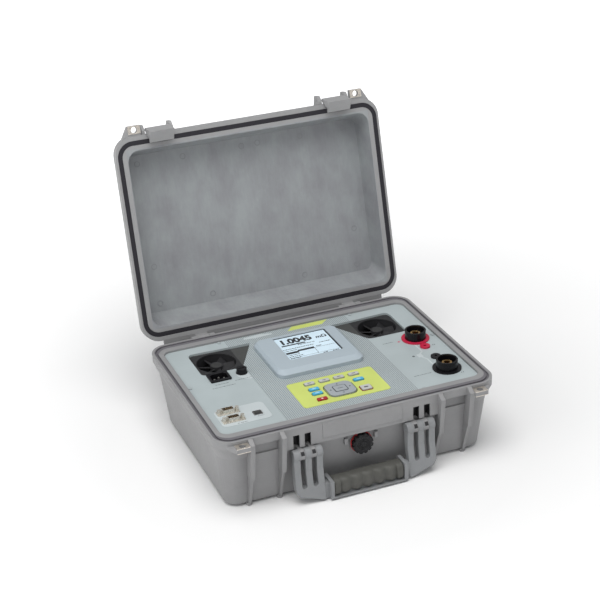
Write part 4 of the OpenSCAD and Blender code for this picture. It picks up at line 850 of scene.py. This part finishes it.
class OHM_OT_display(bpy.types.Operator):
    """Display housing, lit screen, its reading and a painted shadow along the screen's edges"""

    bl_idname = "ohmmeter.display"
    bl_label = "Display"

    def execute(self, context):
        looks = context.scene.ohm_display
        wear_on(moulded("housing_plastic", looks.housing, 0.5 * MM, 0.012 * MM, edge=1.6 * MM, rough=0.36,
                        vary=0.015, wear=0.12, coat=0.15), "display_housing")
        p = Paint("screen_glass", rough=0.3, coat=0.2, coat_rough=0.1)
        x, y, _ = p.axes()
        cell = 0.62 * MM
        lines = [p.math("SINE", p.times(a, 2 * math.pi / cell)) for a in (x, y)]
        grid = p.level(p.math("MAXIMUM", *lines), 0.86, 1.0, 0, 0.22)
        glow = p.mix(p.level(p.noise(30 * MM, 2), 0.3, 0.7),
                     shade(looks.screen, 0.93), shade(looks.screen, 1.03))
        colour = p.mix(grid, glow, shade(looks.screen, 0.8))
        p.join(colour, p.bsdf.inputs["Emission Color"])
        p.bsdf.inputs["Emission Strength"].default_value = 0.12
        wear_on(p.finish(colour, p.level(p.noise(14 * MM, 3), 0.3, 0.7, 0.12, 0.2)), "display_glass")
        _, high = in_mm(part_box("display_glass"))
        left, right, front, rear = -35.1, 43.9, 13.05, 82.55
        z = (high.z - 0.02, high.z + 0.05)

        def at(u, v):
            """A point of the lit field, from (0, 0) at its upper left to (1, 1) at its lower right."""
            return left + (right - left) * u, rear + (front - rear) * v

        bm = bmesh.new()
        text(bm, looks.reading, *at(0.095, 0.3), looks.digit_h / MM, z[1], heavy=0.05, narrow=0.9)
        text(bm, "mΩ", *at(0.74, 0.31), 8.2, z[1], heavy=0.03)
        # Dark bars and lines of the screen, and the frame lines along its rear, right and left edges, which
        # are painted shadow of the window's recess: from u0 to u1 across and from v0 to v1 down.
        for u0, u1, v0, v1 in (
                (0.05, 0.5, 0.345, 0.39), (0, 1, -0.02, 0.018), (0.972, 1, 0.018, 1), (0, 0.008, 0.018, 1),
                (0.26, 0.56, 0.625, 0.695), (0.02, 0.26, 0.66, 0.74), (0.56, 0.568, 0.6, 0.915),
                (0.03, 0.97, 0.913, 0.92), (0.57, 0.95, 0.672, 0.68)):
            (x0, y0), (x1, y1) = at(u0, v1), at(u1, v0)
            prism(bm, [(x0, y0), (x1, y0), (x1, y1), (x0, y1)], *z)
        # Rows of small words: from u0 to u1 at v, and their height.
        for u0, u1, v, height in (
                (0.34, 0.66, 0.42, 1.5), (0.72, 0.93, 0.505, 1.8), (0.02, 0.6, 0.53, 1.7),
                (0.02, 0.26, 0.6, 1.6), (0.62, 0.72, 0.63, 1.9), (0.03, 0.25, 0.79, 1.7),
                (0.03, 0.3, 0.86, 1.7), (0.03, 0.22, 0.935, 1.8), (0.82, 0.94, 0.955, 1.7),
                (0.64, 0.72, 0.955, 1.7)):
            (x0, y), (x1, _) = at(u0, v), at(u1, v)
            dashes(bm, x0, x1, y, height, *z, (1.9, 1.1, 2.6, 1.4, 0.8, 2.2))
        # This dark material is the screen's print and also the painted shadow along its edges.
        dark = Paint("screen_dark", rough=0.2, coat=0.6, coat_rough=0.05)
        cells = dark.mix(dark.level(dark.noise(2 * MM, 2), 0.3, 0.7),
                         shade(looks.dark, 0.8), shade(looks.dark, 1.3))
        ob = piece("screen_reading_and_edge_shadow", bm, dark.finish(cells), "case", smooth=False)
        return {"FINISHED"}


class OHM_OT_keypad(bpy.types.Operator):
    """Keypad film, keys and the marks on them"""

    bl_idname = "ohmmeter.keypad"
    bl_label = "Keypad"

    def execute(self, context):
        looks = context.scene.ohm_keypad
        wear_on(film("keypad_film", context.scene.ohm_panel.accent), "keypad_plate")

        def key_plastic(name, colour, edge=0.7 * MM, rough=0.4, vary=0.03, wear=0.2):
            return moulded(name, colour, 0.4 * MM, 0.01 * MM, edge=edge, rough=rough, vary=vary, wear=wear)

        wear_on(key_plastic("key_grey", looks.grey, rough=0.45, wear=0.3),
                "key_f1", "key_f2", "key_f3", "key_f4", "key_start")
        wear_on(key_plastic("key_blue", looks.blue), "key_blue_upper", "key_blue_lower", "key_blue_right")
        wear_on(key_plastic("key_red", looks.red, vary=0.04), "key_stop")
        wear_on(key_plastic("pad_grey", looks.pad, edge=0.9 * MM, rough=0.42, wear=0.3),
                "nav_pad", "key_enter", "nav_pivot")
        sunk = 0.03
        outline = film("key_outline", looks.outline, rough=0.5)
        frames = bmesh.new()
        for name in ("nav_pad", "key_f1", "key_f2", "key_f3", "key_f4",
                     "key_blue_upper", "key_blue_lower", "key_blue_right"):
            low, high = in_mm(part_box(name))
            x, y = middle(low, high)
            w, d = high.x - low.x - 2 * KEY_FLANGE, high.y - low.y - 2 * KEY_FLANGE
            r, wide, gap = (9, looks.line / MM, 1.0) if name == "nav_pad" else (1.6, 0.5, 0.55)
            frame_prism(frames, rounded(x, y, w + 2 * (gap + wide), d + 2 * (gap + wide), r + gap + wide),
                        rounded(x, y, w + 2 * gap, d + 2 * gap, r + gap),
                        KEYPAD_TOP - sunk, KEYPAD_TOP + 0.07)
        piece("keypad_outlines", frames, outline, "case", smooth=False)

        pad = bmesh.new()
        low, high = in_mm(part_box("nav_pad"))
        x, y = middle(low, high)
        z = (high.z - sunk, high.z + 0.06)
        frame_prism(pad, rounded(x, y, 19.2, 16.8, 2.6), rounded(x, y, 17.4, 15, 1.9), *z)
        tip, foot, half_wide = 1.5, 0.9, 1.6
        for dx, dy in ((0, 1), (0, -1), (1, 0), (-1, 0)):
            cx, cy = x + dx * 14, y + dy * 12.4
            feet = [(cx - dx * foot + way * dy * half_wide, cy - dy * foot + way * dx * half_wide)
                    for way in (1, -1)]
            prism(pad, [(cx + dx * tip, cy + dy * tip)] + feet, *z)
        piece("arrow_marks", pad, outline, "arrow_pad", smooth=False)

        dark = film("key_ink_dark", looks.outline, rough=0.5)
        pale = film("key_ink_pale", (0.8, 0.9, 0.95), rough=0.5)
        marks = [("key_enter", "enter", 8, 0.9, dark), ("key_start", "button_start", 6, 2.6, dark)]
        marks += [("key_" + key, "button_" + key, 5, 1.3, dark) for key in ("f1", "f2", "f3", "f4")]
        marks += [("key_" + key, "button_" + key, 6, 0.9, pale)
                  for key in ("blue_upper", "blue_lower", "blue_right")]
        for node, body, w, d, ink in marks:
            low, high = in_mm(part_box(node))
            bm = bmesh.new()
            prism(bm, rounded(*middle(low, high), w, d, 0.35), high.z - sunk, high.z + 0.04)
            piece("mark_" + body, bm, ink, body, smooth=False)
        low, high = in_mm(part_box("key_stop"))
        bm = bmesh.new()
        lathe(bm, [(0, 0.04), (1.5, 0.04), (1.6, -sunk)], (*middle(low, high), high.z), n=24)
        ink = film("stop_dot", (0.85, 0.7, 0.72))
        piece("mark_button_stop", bm, ink, "button_stop")

        low, high = in_mm(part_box("key_start"))
        x, y = middle(low, high)
        w, d = high.x - low.x - 2 * KEY_FLANGE, high.y - low.y - 2 * KEY_FLANGE
        bm = bmesh.new()
        frame_prism(bm, rounded(x, y, w + 2.7, d + 2.7, 2.8), rounded(x, y, w + 1.1, d + 1.1, 2.1),
                    KEYPAD_TOP - sunk, KEYPAD_TOP + 0.5)
        piece("start_rim", bm, gloss("start_rim_red", tone(132, 40, 40), 0.4), "case")
        return {"FINISHED"}


class OHM_OT_fans(bpy.types.Operator):
    """Dark fan trays, frames and rotors with their hub discs"""

    bl_idname = "ohmmeter.fans"
    bl_label = "Fans"

    def execute(self, context):
        looks = context.scene.ohm_sockets

        def fan_square(p, base):
            """The darker square of the tray round each fan."""
            x = p.math("ABSOLUTE", p.axes()[0])
            mask = p.times(p.math("GREATER_THAN", x, 92 * MM), p.math("LESS_THAN", x, 154 * MM),
                           p.inside(None, (None, 43.5, None), (None, 105.5, None)))
            return p.mix(mask, base, looks.surround)

        wear_on(moulded("tray_powder", looks.tray, 0.6 * MM, 0.02 * MM, rough=0.6, vary=0.1,
                        cover=fan_square), "fan_tray_left", "fan_tray_right")
        wear_on(moulded("fan_plastic", looks.fan, 0.6 * MM, 0.02 * MM, rough=0.75, vary=0.1, wear=0.02),
                "fan_frame_left", "fan_frame_right", "fan_rotor_left", "fan_rotor_right")
        for side in ("left", "right"):
            low, high = in_mm(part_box("fan_frame_" + side))
            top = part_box("fan_rotor_" + side)[1].z / MM
            bm = bmesh.new()
            lathe(bm, [(0, 0.16), (6.6, 0.16), (7.2, 0.05), (7.4, -0.2)], (*middle(low, high), top))
            disc = film("fan_disc_" + side, looks.hub, rough=0.5)
            piece("fan_hub_" + side, bm, disc, "fan_" + side)
        return {"FINISHED"}


class OHM_OT_sockets(bpy.types.Operator):
    """Inlet, fuse, data connectors and measuring terminals"""

    bl_idname = "ohmmeter.sockets"
    bl_label = "Sockets"

    def execute(self, context):
        looks = context.scene.ohm_sockets
        black = gloss("socket_black", looks.black, 0.3)
        wear_on(gloss("terminal_black", shade(looks.black, 0.8), 0.2), "terminal_shrouds")
        wear_on(black, "mains_inlet", "fuse_holder", "fuse_cap")
        rear = ((None, -36, None), (None, None, None))
        wear_on(gloss("flange_colours", looks.black, 0.3, looks.crimson, rear),
                "terminal_flanges", "voltage_sockets")
        wear_on(metal("contact_brass", looks.brass, 0.22, (1, 1, 0.1), 0.3), "terminal_contacts", "bus_bars")
        wear_on(metal("plated_shell", looks.plated, 0.26, (0.1, 1, 1), 0.2, bare=0.65),
                "dsub_connectors", "dsub_standoffs")
        wear_on(metal("blade_nickel", looks.nickel, 0.3), "inlet_blades")
        low, high = in_mm(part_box("usb_socket"))
        wall = 0.7
        p = Paint("usb_shell", rough=0.35)
        # Painted shade: the top face inside the walls is painted near black for the shade in the socket's
        # opening.
        opening_shade = p.inside(None, (low.x + wall, low.y + wall, None), (high.x - wall, high.y - wall, None))
        shell = p.mix(p.noise(3 * MM), (0.16, 0.16, 0.16), (0.24, 0.24, 0.23))
        wear_on(p.finish(p.mix(opening_shade, shell, (0.012, 0.012, 0.014))), "usb_socket")
        wear_on(moulded("module_grey", tone(120, 124, 128), 0.8 * MM, 0.03 * MM),
                "power_unit", "current_module")
        wear_on(film("board_green", tone(40, 92, 60), tone(52, 108, 72), 4 * MM, 0.4, 0.4),
                "main_board", "display_module")

        # Faces and pins of the two data connectors. The face is a D whose corners are rounded.
        shape = [Vector(point) for point in ((-7.7, -2.9), (7.7, -2.9), (6.9, 3.4), (-6.9, 3.4))]
        middle_x, face, corner, steps, pitch = -156.8, 113.0, 0.9, 4, 2.75
        faces = bmesh.new()
        pins = bmesh.new()
        for y in (-91.8, -69.5):
            outline = []
            for i, here in enumerate(shape):
                before, after = shape[i - 1], shape[(i + 1) % 4]
                a = here.lerp(before, corner / (before - here).length)
                b = here.lerp(after, corner / (after - here).length)
                for k in range(steps + 1):
                    part = k / steps
                    q = a.lerp(here, part).lerp(here.lerp(b, part), part)
                    outline.append((middle_x + q.x, y + q.y))
            prism(faces, outline, face - 0.4, face)
            for row, count in ((1.3, 5), (-1.5, 4)):
                for k in range(count):
                    x = middle_x + (k - (count - 1) / 2) * pitch
                    lathe(pins, [(0, 0.25), (0.45, 0.25), (0.6, 0.1), (0.6, -0.2)], (x, y + row, face), n=12)
        piece("connector_faces", faces, black, "case", smooth=False)
        piece("connector_pins", pins, metal("pin_gold", looks.brass, 0.25), "case")
        return {"FINISHED"}


class OHM_PT_panel(bpy.types.Panel):
    """Sizes, colours and operators of the micro ohmmeter"""

    bl_idname = "OHM_PT_panel"
    bl_label = "Micro ohmmeter"
    bl_space_type = "VIEW_3D"
    bl_region_type = "UI"
    bl_category = "Ohmmeter"

    def draw(self, context):
        for group, operators in LAYOUT:
            box = self.layout.box()
            looks = getattr(context.scene, group)
            for name in looks.__annotations__:
                box.prop(looks, name)
            for operator in operators:
                box.operator(operator.bl_idname)


GROUPS = {
    "ohm_stage": StageLooks,
    "ohm_case": CaseLooks,
    "ohm_grip": GripLooks,
    "ohm_valve": ValveLooks,
    "ohm_panel": PanelLooks,
    "ohm_display": DisplayLooks,
    "ohm_keypad": KeypadLooks,
    "ohm_sockets": SocketLooks,
}
LAYOUT = (
    ("ohm_stage", (OHM_OT_stage,)),
    ("ohm_case", (OHM_OT_case,)),
    ("ohm_grip", (OHM_OT_grip,)),
    ("ohm_valve", (OHM_OT_valve,)),
    ("ohm_panel", (OHM_OT_panel,)),
    ("ohm_display", (OHM_OT_display,)),
    ("ohm_keypad", (OHM_OT_keypad,)),
    ("ohm_sockets", (OHM_OT_fans, OHM_OT_sockets)),
)
OPERATORS = [operator for _, operators in LAYOUT for operator in operators]
CLASSES = list(GROUPS.values()) + OPERATORS + [OHM_PT_panel]


def register():
    for cls in CLASSES:
        bpy.utils.register_class(cls)
    for name, group in GROUPS.items():
        setattr(bpy.types.Scene, name, bpy.props.PointerProperty(type=group))


def unregister():
    for name in GROUPS:
        delattr(bpy.types.Scene, name)
    for cls in reversed(CLASSES):
        bpy.utils.unregister_class(cls)


def main():
    register()
    for operator in OPERATORS:
        group, name = operator.bl_idname.split(".")
        if getattr(getattr(bpy.ops, group), name)() != {"FINISHED"}:
            raise RuntimeError(operator.bl_label + " was not made")
    bpy.context.view_layer.update()


if __name__ == "__main__":
    main()
